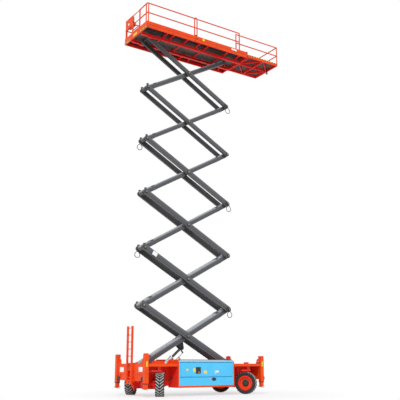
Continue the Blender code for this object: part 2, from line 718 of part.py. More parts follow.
def lifting_ear(x, side, outer):
    """An upright plate with a round top beside the column."""
    centre, radius = outer - EAR_WIDTH / 2, EAR_WIDTH / 2
    outline = [(side * (outer + 0.02), DECK_TOP - 0.05), (side * (outer - EAR_WIDTH), DECK_TOP - 0.05)]
    for step in range(END_STEPS + 1):
        angle = math.radians(180 - 180 * step / END_STEPS)
        z = EAR_TOP - radius + radius * math.sin(angle)
        outline.append((side * (centre + radius * math.cos(angle)), z))
    outline.append((side * (outer + 0.02), EAR_TOP - radius))
    return prism(outline, "X", x - 0.02, x + 0.02)


def jack_leg(end, hand, start, outward, side, parent, material):
    post_x, post_y = post_centre(start, outward, side)
    half = POST_BORE / 2 - SEAT
    foot = FOOT_SIZE / 2
    top = FOOT_BOTTOM + FOOT_THICK
    shapes = [
        box((-half, -half, top - 0.005), (half, half, bore_top(end, side) - LEG_CAP)),
        box((-foot, -foot, FOOT_BOTTOM), (foot, foot, top)),
    ]
    fused(f"jack_leg_{end}_{hand}", shapes, material, place=(post_x, post_y, 0), parent=parent)


def ladder(parent, material):
    """Two deep rails with round rungs, a plate with a socket across their feet, and their brackets."""
    back = LADDER_X + LADDER_DEPTH
    inner = LADDER_HALF - LADDER_RAIL
    shapes = []
    for side in (-1, 1):
        shapes.append(sided((LADDER_X, inner, LADDER_BOTTOM), (back, LADDER_HALF, LADDER_TOP), side))
        for z in LADDER_BRACKETS:
            held = (REAR_END - END_DEPTH - SEAT, LADDER_HALF, z + 0.06)
            shapes.append(sided((back - 0.01, inner, z), held, side))
    inside = inner + 0.02
    for number in range(RUNGS):
        z = LADDER_TOP - TOP_RUNG_DROP - number * RUNG_PITCH
        shapes.append(pin("Y", (LADDER_X + LADDER_DEPTH / 2, 0, z), RUNG_RADIUS, -inside, inside))
    plate_low = (LADDER_X + 0.02, -inside, LADDER_BOTTOM)
    shapes.append(box(plate_low, (back - 0.02, inside, LADDER_PLATE_TOP)))
    middle = (LADDER_BOTTOM + LADDER_PLATE_TOP) / 2
    socket = pin("X", (0, 0, middle), SOCKET_RADIUS, LADDER_X - 0.02, LADDER_X + 0.05, CYLINDER_FACETS)
    fused("ladder", shapes, material, [socket], parent=parent)


# Hoods

def hood(name, side, parent, material):
    """The fixed part of one hood: top with its chamfer, ends, floor and lower panel."""
    inner = UPSTAND_OUT + SEAT
    section = [
        (inner, HOOD_BOTTOM), (HOOD_FACE, HOOD_BOTTOM), (HOOD_FACE, HOOD_TOP - HOOD_CHAMFER),
        (HOOD_FACE - HOOD_CHAMFER, HOOD_TOP), (inner, HOOD_TOP),
    ]
    body = prism([(side * y, z) for y, z in section], "X", HOOD_REAR, HOOD_FRONT)
    wall = HOOD_WALL
    hollow = [
        (inner - 0.1, HOOD_BOTTOM + wall), (HOOD_FACE - wall, HOOD_BOTTOM + wall),
        (HOOD_FACE - wall, HOOD_TOP - HOOD_CHAMFER - wall / 2),
        (HOOD_FACE - HOOD_CHAMFER - wall / 2, HOOD_TOP - wall), (inner - 0.1, HOOD_TOP - wall),
    ]
    cuts = [prism([(side * y, z) for y, z in hollow], "X", HOOD_REAR + wall, HOOD_FRONT - wall)]
    low = (HOOD_REAR + wall, HOOD_FACE - wall - 0.02, DOOR_BOTTOM - DOOR_GAP)
    cuts.append(sided(low, (HOOD_FRONT - wall, HOOD_FACE + 0.1, DOOR_HINGE_Z + wall / 2 + 0.006), side))
    fused(name, [body], material, cuts, parent=parent)


def door(name, side, parent, material):
    """The door over the upper part of the hood, hung on a hinge pin along its top edge."""
    half = HOOD_WALL / 2
    start = HOOD_REAR + HOOD_WALL
    end = HOOD_FRONT - HOOD_WALL
    panel = box((start + DOOR_GAP, -half, DOOR_BOTTOM - DOOR_HINGE_Z), (end - DOOR_GAP, half, 0.005))
    rod = pin("X", (0, 0, 0), 0.012, start + SEAT, end - SEAT, 8)
    fused(name, [panel, rod], material, place=(0, side * (HOOD_FACE - half), DOOR_HINGE_Z), parent=parent)


MACHINERY = (   # name, side, rear and front, height over the hood's floor, material
    ("engine", -1, -0.90, 0.70, 0.86, "cast"), ("oil_tank", 1, -0.60, 0.90, 0.78, "steel"),
)


def machinery(parent, materials):
    """The engine behind one hood and the oil tank behind the other, each a plain block."""
    floor = HOOD_BOTTOM + HOOD_WALL + SEAT
    for name, side, rear, front, height, key in MACHINERY:
        low = (rear, UPSTAND_OUT + 0.14, floor)
        block = sided(low, (front, HOOD_FACE - 0.14, floor + height), side)
        fused(name, [block], materials[key], parent=parent)


BEACONS = (     # name, x, y, radius, height, material
    ("beacon_amber", -1.07, -1.28, 0.05, 0.15, "amber"),
    ("beacon_red", 1.84, -1.29, 0.10, 0.22, "red"),
)


def beacons(parent, materials):
    for name, x, y, radius, height, key in BEACONS:
        base = HOOD_TOP + SEAT
        profile = (
            (base, radius + 0.01), (base + 0.03, radius + 0.01), (base + 0.03, radius),
            (base + height * 0.7, radius), (base + height * 0.92, radius * 0.7),
            (base + height, radius * 0.25),
        )
        fused(name, [turned(profile, "Z", (x, y, 0), CYLINDER_FACETS)], materials[key], parent=parent)


# Wheels and axles

def axle(name, x, parent, material):
    """A driven axle: its tube, the housing of its final drive and a fork round each kingpin."""
    centre_z = HUB_Z
    half = [(0.11, DIFF_RADIUS), (0.26, AXLE_TUBE + 0.03), (0.34, AXLE_TUBE), (0.94, AXLE_TUBE)]
    profile = [(-along, radius) for along, radius in reversed(half)] + half
    shapes = [turned(profile, "Y", (x, 0, centre_z), CYLINDER_FACETS)]
    cuts = []
    for side in (-1, 1):
        root = (x - 0.08, 0.90, centre_z - YOKE_HALF)
        shapes.append(sided(root, (x + 0.08, 1.02, centre_z + YOKE_HALF), side))
        for sign in (-1, 1):
            low, high = sorted((centre_z + sign * YOKE_GAP, centre_z + sign * YOKE_HALF))
            shapes.append(sided((x - 0.06, 1.0, low), (x + 0.06, KINGPIN_Y + 0.06, high), side))
        cuts.append(pin("Z", (x, side * KINGPIN_Y, 0), bore_radius(KINGPIN_RADIUS), 0.2, 0.9))
    fused(name, shapes, material, cuts, parent=parent)


def knuckle(name, x, side, steer, parent, material):
    """The kingpin with its body and the spindle that the wheel turns on."""
    shapes = [
        pin("Z", (0, 0, 0), 0.062, -YOKE_GAP + SEAT, YOKE_GAP - SEAT),
        pin("Z", (0, 0, 0), KINGPIN_RADIUS, -YOKE_HALF - 0.01, YOKE_HALF + 0.01),
    ]
    flange = HUB_SEAT - SEAT
    profile = ((0.0, SPINDLE_RADIUS), (flange - 0.03, SPINDLE_RADIUS), (flange - 0.03, 0.10), (flange, 0.10),
               (flange, SPINDLE_RADIUS), (HUB_SEAT + 0.05, SPINDLE_RADIUS))
    shapes.append(turned([(side * along, radius) for along, radius in profile], "Y"))
    fused(name, shapes, material, place=(x, side * KINGPIN_Y, HUB_Z),
          turn=(0, 0, math.radians(steer)), parent=parent)


def rim_mesh_shapes(side):
    """The rim about the tyre's middle, its open side towards the vehicle."""
    flange_in, flange_out = BEAD_HALF + SEAT, BEAD_HALF + 0.02
    well = BEAD_RADIUS - RIM_WALL
    loop = [
        (-flange_out, well), (flange_out, well), (flange_out, RIM_FLANGE), (flange_in, RIM_FLANGE),
        (flange_in, BEAD_RADIUS), (-flange_in, BEAD_RADIUS), (-flange_in, RIM_FLANGE),
        (-flange_out, RIM_FLANGE),
    ]
    seat = HUB_SEAT - WHEEL_OFFSET
    web = [(seat, 0.11), (seat + 0.012, 0.11), (seat + 0.012, well + 0.01), (seat + 0.035, well + 0.01),
           (seat + 0.035, HUB_RADIUS), (seat + 0.10, HUB_RADIUS), (seat + 0.13, HUB_RADIUS - 0.04)]
    rim = turned([(side * a, r) for a, r in loop], "Y", facets=RIM_FACETS, ring=True)
    disc = turned([(side * a, r) for a, r in web], "Y", facets=RIM_FACETS)
    hole = sorted((side * (seat - 0.02), side * (seat + 0.055)))
    return [rim, disc], [pin("Y", (0, 0, 0), bore_radius(SPINDLE_RADIUS), *hole)]


def tyre_mesh():
    """A tyre with two rows of slanting lugs that meet in a V along its middle."""
    stations = LUG_STATIONS * LUGS
    low = TYRE_RADIUS - LUG_HEIGHT
    half = TYRE_WIDTH / 2
    bead = (BEAD_RADIUS + SEAT) / math.cos(math.pi / stations)
    foot = BEAD_HALF - 0.02
    shoulder = half - 0.012
    profile = (     # y, radius in a groove, radius on a lug
        (-foot, bead, bead), (-half, SIDEWALL_RADIUS, SIDEWALL_RADIUS), (-shoulder, low, TYRE_RADIUS),
        (0.0, low, TYRE_RADIUS), (shoulder, low, TYRE_RADIUS), (half, SIDEWALL_RADIUS, SIDEWALL_RADIUS),
        (foot, bead, bead),
    )
    slant = 2 * math.pi / LUGS / shoulder      # one lug's pitch from the middle to the shoulder
    bm = bmesh.new()
    rings = []
    for y, groove, lug in profile:
        ring = []
        for i in range(stations):
            angle = 2 * math.pi * i / stations + slant * abs(y)
            radius = lug if i % LUG_STATIONS else groove
            ring.append(bm.verts.new((radius * math.cos(angle), y, radius * math.sin(angle))))
        rings.append(ring)
    for one, two in zip(rings, rings[1:] + rings[:1]):
        for i in range(stations):
            j = (i + 1) % stations
            bm.faces.new((one[i], two[i], two[j], one[j]))
    return mesh_of(bm, smooth=True)


WHEELS = (      # name, axle, side
    ("rear_right", "rear", -1), ("rear_left", "rear", 1),
    ("front_right", "front", -1), ("front_left", "front", 1),
)


def wheels(parent, materials):
    axles = {"rear": (REAR_AXLE_X, REAR_STEER), "front": (FRONT_AXLE_X, FRONT_STEER)}
    for name, end, side in WHEELS:
        x, steer = axles[end]
        steer *= FAR_SHARE if side > 0 else 1
        knuckle(f"knuckle_{name}", x, side, steer, parent, materials["cast"])
        turn = Matrix.Rotation(math.radians(steer), 3, "Z")
        centre = Vector((x, side * KINGPIN_Y, HUB_Z)) + turn @ Vector((0, side * WHEEL_OFFSET, 0))
        angle = (0, 0, math.radians(steer))
        shapes, cuts = rim_mesh_shapes(side)
        fused(f"rim_{name}", shapes, materials["orange"], cuts, centre, angle, parent)
        fused(f"tyre_{name}", [tyre_mesh()], materials["rubber"], (), centre, angle, parent)
    axle("axle_rear", REAR_AXLE_X, parent, materials["cast"])
    axle("axle_front", FRONT_AXLE_X, parent, materials["cast"])


# Platform

def skirt_outline(low):
    """The section of a side beam: its sill, and the toe board over it with a lip turned inwards."""
    toe, top = SIDE_HALF - SKIRT_STEP, low + SKIRT_HEIGHT
    shelf = low + SILL_HEIGHT
    return [
        (SIDE_HALF - SILL_WIDTH, low), (SIDE_HALF, low), (SIDE_HALF, shelf), (toe, shelf), (toe, top),
        (toe - RAIL_TUBE, top), (toe - RAIL_TUBE, top - DECK_PLATE), (toe - SKIRT_PLATE, top - DECK_PLATE),
        (toe - SKIRT_PLATE, shelf), (SIDE_HALF - SILL_WIDTH, shelf),
    ]


def channel_outline():
    """The section of a channel about the top pins' height, open towards the middle."""
    inside = TOP_ROLLER_RADIUS + SEAT
    outside = inside + CHANNEL_WALL
    web = CHANNEL_OUT - CHANNEL_WALL
    half = [(CHANNEL_IN, inside), (CHANNEL_IN, outside), (CHANNEL_OUT, outside)]
    loop = half + [(y, -z) for y, z in reversed(half)] + [(web, -inside), (web, inside)]
    return [(y, TOP_PIN_Z + z) for y, z in loop]


def platform_frame(parent, material):
    """Side and end beams with toe boards, the two channels that the stack runs in, and cross-beams."""
    pin_z = TOP_PIN_Z
    low = pin_z + SKIRT_RISE
    beam_low = pin_z + BEAM_RISE
    beam_top = beam_low + BEAM_HEIGHT
    channel_top = pin_z + TOP_ROLLER_RADIUS
    inner = SIDE_HALF - 0.02
    shapes = [
        box((DECK_REAR, -inner, low), (DECK_REAR + 0.06, inner, low + SKIRT_HEIGHT)),
        box((DECK_FRONT - END_BEAM, -inner, low), (DECK_FRONT, inner, beam_top)),
    ]
    for side in (-1, 1):
        shapes.append(prism([(side * y, z) for y, z in skirt_outline(low)], "X", DECK_REAR, DECK_FRONT))
        channel = [(side * y, z) for y, z in channel_outline()]
        shapes.append(prism(channel, "X", DECK_REAR + 0.06, DECK_FRONT - 0.01))
        block = (-PIN_X - 0.13, CHANNEL_IN, pin_z - PIN_RADIUS - 0.05)
        shapes.append(sided(block, (-PIN_X + 0.13, CHANNEL_OUT - 0.005, channel_top), side))
    half = BEAM_WIDTH / 2
    for x, through in BEAMS:
        if through:
            shapes.append(box((x - half, -inner, beam_low), (x + half, inner, beam_top)))
        for side in (-1, 1):
            packer = (x - half + 0.005, CHANNEL_OUT - 0.05, channel_top)
            shapes.append(sided(packer, (x + half - 0.005, CHANNEL_OUT - 0.005, beam_low + 0.01), side))
            if not through:
                shapes.append(sided((x - half, CHANNEL_IN, beam_low), (x + half, inner, beam_top), side))
    reach = CHANNEL_OUT - CHANNEL_WALL + SEAT
    bore = pin("Y", (-PIN_X, 0, pin_z), bore_radius(PIN_RADIUS), -reach, reach)
    fused("platform_frame", shapes, material, [bore], parent=parent)


def platform_deck(parent, material):
    bottom = TOP_PIN_Z + BEAM_RISE + BEAM_HEIGHT + SEAT
    half = SIDE_HALF - SKIRT_STEP - SKIRT_PLATE - SEAT
    low = (DECK_REAR + 0.06 + SEAT, -half, bottom)
    fused("platform_deck", [box(low, (DECK_FRONT, half, bottom + DECK_PLATE))], material, parent=parent)


MAIN_POSTS = (-3.10, -0.20, -0.04, 2.88)
END_RAIL_X = DECK_REAR + 0.03
END_POSTS = (1.19, 0.42, -0.41, -1.10)
GATE_GAP = (END_POSTS[2], END_POSTS[1])
GATE_HINGE = 0.055              # of the gate's hinge from its post
GATE_BRACKET = 0.02             # thickness of the two brackets that hold it
GATE_SILL = 0.10                # of the lower bracket over the rail's foot


def rail_levels():
    top = TOP_PIN_Z + RAIL_RISE - RAIL_TUBE / 2
    return top, top - MID_RAIL_DROP


def tube_box(start, end):
    """A square tube along one axis between two points on its middle line."""
    half = RAIL_TUBE / 2
    low = [min(a, b) - half for a, b in zip(start, end)]
    high = [max(a, b) + half for a, b in zip(start, end)]
    return box(low, high)


def rail_foot():
    return TOP_PIN_Z + SKIRT_RISE + SKIRT_HEIGHT + SEAT + RAIL_TUBE / 2


def guard_rail(parent, material):
    """Posts, top rails and middle rails round the main deck, open at its front and at the gate."""
    top, middle = rail_levels()
    foot = rail_foot()
    y = SIDE_HALF - SKIRT_STEP - RAIL_TUBE / 2
    x = END_RAIL_X
    shapes = []
    for side in (-1, 1):
        for post in MAIN_POSTS:
            shapes.append(tube_box((post, side * y, foot), (post, side * y, top)))
        for z in (top, middle):
            shapes.append(tube_box((x, side * y, z), (MAIN_POSTS[-1], side * y, z)))
    for post in END_POSTS:
        shapes.append(tube_box((x, post, foot), (x, post, top)))
    for z in (top, middle):
        shapes.append(tube_box((x, GATE_GAP[1], z), (x, y, z)))
        shapes.append(tube_box((x, -y, z), (x, GATE_GAP[0], z)))
    shapes.append(tube_box((x, GATE_GAP[0], foot), (x, GATE_GAP[1], foot)))
    for z in (foot + GATE_SILL, top + RAIL_TUBE / 2):
        low = (x - 0.02, GATE_GAP[0], z - GATE_BRACKET)
        shapes.append(box(low, (x + 0.02, GATE_GAP[0] + GATE_HINGE + 0.03, z)))
    fused("guard_rail", shapes, material, parent=parent)


def gate(parent, material):
    """The gate in the rear rail, on a hinge beside its post."""
    top, middle = rail_levels()
    tube = 0.017
    low = rail_foot() + GATE_SILL + SEAT
    high = top + RAIL_TUBE / 2 - GATE_BRACKET - SEAT
    width = GATE_GAP[1] - GATE_GAP[0] - GATE_HINGE - RAIL_TUBE / 2 - 0.02
    shapes = [box((-tube, -tube, low), (tube, tube, high))]
    shapes.append(box((-tube, width - 2 * tube, low), (tube, width, high)))
    for z in (low + tube, middle, high - tube):
        shapes.append(box((-tube, 0, z - tube), (tube, width - tube, z + tube)))
    fused("gate", shapes, material, place=(END_RAIL_X, GATE_GAP[0] + GATE_HINGE, 0), parent=parent)


def control_box(parent, material):
    """The control panel that fills the upper half of the rail beside the gate."""
    top, middle = rail_levels()
    half = RAIL_TUBE / 2 + SEAT
    low = (END_RAIL_X - 0.02, END_POSTS[1] + half, middle + half)
    high = (END_RAIL_X + 0.10, END_POSTS[0] - half, top - half)
    fused("control_box", [box(low, high)], material, parent=parent)


def extension(parent, materials):
    """The deck that rolls out over the main one, with its beams, plate and rail."""
    deck_top = TOP_PIN_Z + BEAM_RISE + BEAM_HEIGHT + SEAT + DECK_PLATE
    low = deck_top + SEAT + RUNNER
    top = low + SLIDE_HEIGHT
    half, beam = SLIDE_HALF, SLIDE_BEAM
    shapes = []
    for side in (-1, 1):
        shapes.append(sided((SLIDE_REAR, half - beam, low), (SLIDE_FRONT, half, top), side))
        runner = (SLIDE_REAR, half - beam, deck_top + SEAT)
        shapes.append(sided(runner, (DECK_FRONT - 0.3, half - 0.01, low + 0.01), side))
    bays = 3
    for number in range(bays + 1):
        x = SLIDE_REAR + (SLIDE_FRONT - beam - SLIDE_REAR) * number / bays
        shapes.append(box((x, -half + 0.01, low), (x + beam, half - 0.01, top)))
    shapes.append(box((SLIDE_REAR, -beam / 2, low), (SLIDE_FRONT - 0.01, beam / 2, top)))
    middle = (low + top) / 2
    for number in (1, 2):
        x0 = SLIDE_REAR + (SLIDE_FRONT - beam - SLIDE_REAR) * number / bays + beam / 2
        x1 = x0 + (SLIDE_FRONT - beam - SLIDE_REAR) / bays
        for side in (-1, 1):
            a, b = (x0, x1) if number == 1 else (x1, x0)
            corner = (b, side * (half - beam / 2), middle)
            shapes.append(strut((a, 0, middle), corner, 0.03, SLIDE_HEIGHT - 0.02))
    fused("extension_frame", shapes, materials["orange"], parent=parent)
    plate = box((SLIDE_REAR, -half, top + SEAT), (SLIDE_FRONT, half, top + SEAT + DECK_PLATE))
    fused("extension_deck", [plate], materials["brown"], parent=parent)
    foot = top + 2 * SEAT + DECK_PLATE + RAIL_TUBE / 2
    rail_top = rail_levels()[0] - SLIDE_RAIL_DROP
    y = half - RAIL_TUBE / 2
    rear, front = SLIDE_REAR + 0.08, SLIDE_FRONT - RAIL_TUBE / 2
    rails = []
    for side in (-1, 1):
        for x in (rear, front):
            rails.append(tube_box((x, side * y, foot), (x, side * y, rail_top)))
        for z in (rail_top, rail_top - MID_RAIL_DROP + SLIDE_RAIL_DROP):
            rails.append(tube_box((rear, side * y, z), (front, side * y, z)))
    for z in (rail_top, rail_top - MID_RAIL_DROP + SLIDE_RAIL_DROP):
        rails.append(tube_box((front, -y, z), (front, y, z)))
    fused("extension_rail", rails, materials["orange"], parent=parent)


def main():
    for obj in list(bpy.data.objects):
        bpy.data.objects.remove(obj)
    materials = finishes()
    middle = bpy.data.objects.new("machine_middle", None)
    middle.location = (MIDDLE_X, MIDDLE_Y, 0)
    bpy.context.scene.collection.objects.link(middle)
    chassis_frame(middle, materials["orange"])
    for end, start, outward in (("rear", REAR_END, -1), ("front", FRONT_END, 1)):
        end_frame(end, start, outward, middle, materials["orange"])
        for hand, side in (("right", -1), ("left", 1)):
            jack_leg(end, hand, start, outward, side, middle, materials["orange"])
    ladder(middle, materials["orange"])
    for hand, side in (("right", -1), ("left", 1)):
        hood(f"hood_{hand}", side, middle, materials["blue"])
        door(f"door_{hand}", side, middle, materials["blue"])
    machinery(middle, materials)
    beacons(middle, materials)
    wheels(middle, materials)
    for level in range(LEVELS):
        inner_arm(level, middle, materials["grey"])
        outer_arm(level, middle, materials["grey"])
    for number, (level, end, side) in enumerate(HOSE_LOOPS, 1):
        hose_loop(number, level, end, side, middle, materials["hose"])
    lift_cylinder(middle, materials["steel"], materials["chrome"])
    platform_frame(middle, materials["orange"])
    platform_deck(middle, materials["dark"])
    guard_rail(middle, materials["orange"])
    gate(middle, materials["orange"])
    control_box(middle, materials["orange"])
    extension(middle, materials)


main()
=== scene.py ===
import bpy
import math
from mathutils import Matrix, Vector


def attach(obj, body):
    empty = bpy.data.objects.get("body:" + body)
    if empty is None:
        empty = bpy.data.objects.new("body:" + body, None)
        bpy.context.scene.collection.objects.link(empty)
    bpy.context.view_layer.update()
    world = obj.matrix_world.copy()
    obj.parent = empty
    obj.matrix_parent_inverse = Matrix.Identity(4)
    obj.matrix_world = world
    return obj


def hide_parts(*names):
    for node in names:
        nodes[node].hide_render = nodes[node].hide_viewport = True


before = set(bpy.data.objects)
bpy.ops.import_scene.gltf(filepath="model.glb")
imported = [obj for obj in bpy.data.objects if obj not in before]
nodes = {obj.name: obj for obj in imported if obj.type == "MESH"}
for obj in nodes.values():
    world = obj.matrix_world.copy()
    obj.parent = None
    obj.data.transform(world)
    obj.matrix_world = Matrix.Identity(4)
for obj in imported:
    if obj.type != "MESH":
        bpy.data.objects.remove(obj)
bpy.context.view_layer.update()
print("frame loaded:", len(nodes), "nodes")

# the scissor stack stands here, as X and Y are measured from the middle of the whole machine
stackX = -1.325
stackY = 0.0077
stack = {"angle": 29.25, "arm": 5.86, "baseZ": 1.42, "levels": 6, "barOut": 0.395}
armAngle = math.radians(stack["angle"])
levelRise = stack["arm"] * math.sin(armAngle)


def placeCamera():
    # fitted to the photograph's own points: a lens at eye level, left of the near side
    view = {"place": (-19.523, -28.844, 1.515), "turn": 33.602, "rise": 13.93, "lens": 59.26}
    camera = bpy.data.objects.new("camera", bpy.data.cameras.new("camera"))
    bpy.context.scene.collection.objects.link(camera)
    camera.location = view["place"]
    camera.rotation_euler = (math.radians(90 + view["rise"]), 0, math.radians(-view["turn"]))
    camera.data.lens = view["lens"]
    camera.data.sensor_width = 36
    camera.data.clip_end = 500
    bpy.context.scene.camera = camera


def mathNode(tree, operation, *values, clamp=False):
    # each value is a number or another node's socket
    step = tree.nodes.new("ShaderNodeMath")
    step.operation = operation
    step.use_clamp = clamp
    for socket, value in zip(step.inputs, values):
        if isinstance(value, (int, float)):
            socket.default_value = value
        else:
            tree.links.new(value, socket)
    return step.outputs[0]


def mixShaders(tree, factor, first, second):
    mix = tree.nodes.new("ShaderNodeMixShader")
    for socket, value in zip(mix.inputs, (factor, first, second)):
        tree.links.new(value, socket)
    return mix.outputs[0]


def litMix(tree, plain, shown):
    # the camera, gloss and glass see the second shader, and the light comes from the first
    path = tree.nodes.new("ShaderNodeLightPath").outputs
    seen = mathNode(tree, "ADD", path["Is Camera Ray"], path["Is Glossy Ray"])
    seen = mathNode(tree, "ADD", seen, path["Is Transmission Ray"], clamp=True)
    return mixShaders(tree, seen, plain, shown)


def lightStudio():
    look = {"sky": (0.95, 0.97, 1.0), "skyStrength": 0.66, "sun": 1.75, "sunTurn": (52, 0, -40), "soft": 16}
    world = bpy.data.worlds.new("studio")
    bpy.context.scene.world = world
    world.use_nodes = True
    tree = world.node_tree
    soft = tree.nodes["Background"]
    soft.inputs["Color"].default_value = (*look["sky"], 1)
    soft.inputs["Strength"].default_value = look["skyStrength"]
    white = tree.nodes.new("ShaderNodeBackground")
    white.inputs["Color"].default_value = (1, 1, 1, 1)
    tree.links.new(litMix(tree, soft.outputs[0], white.outputs[0]), tree.nodes["World Output"].inputs["Surface"])
    sun = bpy.data.objects.new("sun", bpy.data.lights.new("sun", "SUN"))
    bpy.context.scene.collection.objects.link(sun)
    sun.data.energy = look["sun"]
    sun.data.angle = math.radians(look["soft"])
    sun.rotation_euler = [math.radians(angle) for angle in look["sunTurn"]]


def layFloor():
    # a pale floor that fades to white away from the machine and keeps its shadow
    size = {"half": 60, "fadeStart": 4.5, "fadeEnd": 8, "least": 0.62}
    bpy.ops.object.select_all(action="DESELECT")
    bpy.ops.mesh.primitive_plane_add(size=2 * size["half"], location=(0, 0, 0))
    floor = bpy.context.object
    floor.name = "floor"
    material = bpy.data.materials.new("paleFloor")
    material.use_nodes = True
    tree = material.node_tree
    shader = tree.nodes["Principled BSDF"]
    shader.inputs["Base Color"].default_value = (0.9, 0.9, 0.9, 1)
    shader.inputs["Roughness"].default_value = 0.9
    glow = tree.nodes.new("ShaderNodeEmission")
    glow.inputs["Strength"].default_value = 1
    coords = tree.nodes.new("ShaderNodeTexCoord")
    reach = tree.nodes.new("ShaderNodeVectorMath")
    reach.operation = "LENGTH"
    tree.links.new(coords.outputs["Object"], reach.inputs[0])
    fade = tree.nodes.new("ShaderNodeMapRange")
    fade.inputs["From Min"].default_value = size["fadeStart"]
    fade.inputs["From Max"].default_value = size["fadeEnd"]
    fade.inputs["To Min"].default_value = size["least"]
    tree.links.new(reach.outputs["Value"], fade.inputs["Value"])
    faded = mixShaders(tree, fade.outputs[0], shader.outputs[0], glow.outputs[0])
    whole = litMix(tree, shader.outputs[0], faded)
    tree.links.new(whole, tree.nodes["Material Output"].inputs["Surface"])
    floor.data.materials.append(material)


bpy.context.scene.view_settings.view_transform = "Standard"
placeCamera()
lightStudio()
layFloor()
print("camera, light and floor set")


def newMaterial(name, color, roughness, metallic=0.0):
    material = bpy.data.materials.new(name)
    material.use_nodes = True
    shader = material.node_tree.nodes["Principled BSDF"]
    shader.inputs["Base Color"].default_value = (*color, 1)
    shader.inputs["Roughness"].default_value = roughness
    shader.inputs["Metallic"].default_value = metallic
    return material


def objectPlace(tree):
    return tree.nodes.new("ShaderNodeTexCoord").outputs["Object"]


def noiseOf(tree, scale, detail):
    noise = tree.nodes.new("ShaderNodeTexNoise")
    noise.inputs["Scale"].default_value = scale
    noise.inputs["Detail"].default_value = detail
    tree.links.new(objectPlace(tree), noise.inputs["Vector"])
    return noise.outputs["Fac"]


def spread(tree, value, low, high, start=0.0, end=1.0):
    reach = tree.nodes.new("ShaderNodeMapRange")
    for socket, number in (("From Min", low), ("From Max", high), ("To Min", start), ("To Max", end)):
        reach.inputs[socket].default_value = number
    tree.links.new(value, reach.inputs["Value"])
    return reach.outputs[0]


def blendColors(tree, factor, first, second):
    mix = tree.nodes.new("ShaderNodeMix")
    mix.data_type = "RGBA"
    tree.links.new(factor, mix.inputs["Factor"])
    colorInputs = [item for item in mix.inputs if item.type == "RGBA"]
    for socket, color in zip(colorInputs, (first, second)):
        if isinstance(color, tuple):
            socket.default_value = (*color, 1)
        else:
            tree.links.new(color, socket)
    return [item for item in mix.outputs if item.type == "RGBA"][0]


def above(tree, value, limit):
    return mathNode(tree, "GREATER_THAN", value, limit)


def below(tree, value, limit):
    return mathNode(tree, "LESS_THAN", value, limit)


def addBump(tree, height, strength, distance=0.002):
    bump = tree.nodes.new("ShaderNodeBump")
    bump.inputs["Strength"].default_value = strength
    bump.inputs["Distance"].default_value = distance
    tree.links.new(height, bump.inputs["Height"])
    tree.links.new(bump.outputs[0], tree.nodes["Principled BSDF"].inputs["Normal"])


def paintFinish(name, look, shadeZone=None, paintedLight=None):
    # sprayed paint: a cloudy tone, thin specks of road dust, a fine orange peel
    material = newMaterial(name, look["color"], look["roughness"])
    tree = material.node_tree
    shader = tree.nodes["Principled BSDF"]
    cloud = spread(tree, noiseOf(tree, 1.6, 4), 0.35, 0.65)
    tone = blendColors(tree, cloud, look["color"], look["shade"])
    # painted light across an arm's height, where it is given
    if paintedLight:
        tone = blendColors(tree, spread(tree, cloud, 0, 1, 0, 0.25), paintedLight(tree), look["shade"])
    # a zone of painted shade takes the look's inner tone
    if shadeZone:
        tone = blendColors(tree, shadeZone(tree), tone, look["inner"])
    speck = spread(tree, noiseOf(tree, 14, 6), 0.56, 0.72, 0, look["dust"])
    tone = blendColors(tree, speck, tone, look["dirt"])
    tree.links.new(tone, shader.inputs["Base Color"])
    tree.links.new(spread(tree, noiseOf(tree, 5, 3), 0.3, 0.7, look["roughness"] - 0.07, look["roughness"] + 0.1),
                   shader.inputs["Roughness"])
    addBump(tree, noiseOf(tree, 90, 2), look.get("peel", 0.08))
    shader.inputs["Specular IOR Level"].default_value = look.get("gloss", 0.22)
    return material


def axisOf(tree, axis):
    split = tree.nodes.new("ShaderNodeSeparateXYZ")
    tree.links.new(objectPlace(tree), split.inputs[0])
    return split.outputs[axis]


def fromMiddle(tree):
    # the distance from the machine's long middle plane, alike on both sides
    return mathNode(tree, "ABSOLUTE", axisOf(tree, "Y"))


def chassisPaintedShade(tree):
    # painted shade: the girders and what lies under the decks are painted a deeper red than the edges, standing for
    # the shade they lie in
    return mathNode(tree, "MULTIPLY", below(tree, fromMiddle(tree), 1.45), below(tree, axisOf(tree, "Z"), 1.47))


def platformPaintedShade(tree):
    # painted shade: what lies inside the skirt and the rear beam is painted red, standing for the shade it lies in
    ahead = above(tree, axisOf(tree, "X"), stackX - 3.17)
    return mathNode(tree, "MULTIPLY", below(tree, fromMiddle(tree), 1.225), ahead)


def armPaintedLight(tree, lean):
    # painted light on an arm: a painted highlight along its top, painted shade below it and a warm painted reflection
    # at its lower edge: the tone follows the height across the arm, and one rule serves all six levels, as it starts
    # again at each of them
    half = 0.15     # of the arm's height
    sine, cosine = lean * math.sin(armAngle), math.cos(armAngle)
    across = tree.nodes.new("ShaderNodeVectorMath")
    across.operation = "DOT_PRODUCT"
    tree.links.new(objectPlace(tree), across.inputs[0])
    across.inputs[1].default_value = (sine, 0, cosine)
    start = sine * stackX + cosine * (stack["baseZ"] + levelRise / 2)
    span = levelRise * cosine / 2
    level = mathNode(tree, "WRAP", across.outputs["Value"], start + span, start - span)
    height = spread(tree, level, start - half, start + half)
    ramp = tree.nodes.new("ShaderNodeValToRGB")
    tree.links.new(height, ramp.inputs[0])
    # from the lower edge up: a warm painted reflection, painted shade, the grey, and a painted highlight along the
    # top, far paler on the inner arms
    stops = [(0.0, (0.230, 0.210, 0.205)), (0.12, (0.085, 0.073, 0.074)), (0.45, (0.086, 0.090, 0.096)),
             (0.66, (0.105, 0.112, 0.122)), (0.88, (0.42, 0.43, 0.445) if lean < 0 else (0.125, 0.132, 0.142))]
    for place, color in stops:
        ramp.color_ramp.elements.new(place).color = (*color, 1)
    ramp.color_ramp.elements[-1].color = (*stops[-1][1], 1)
    return ramp.outputs["Color"]


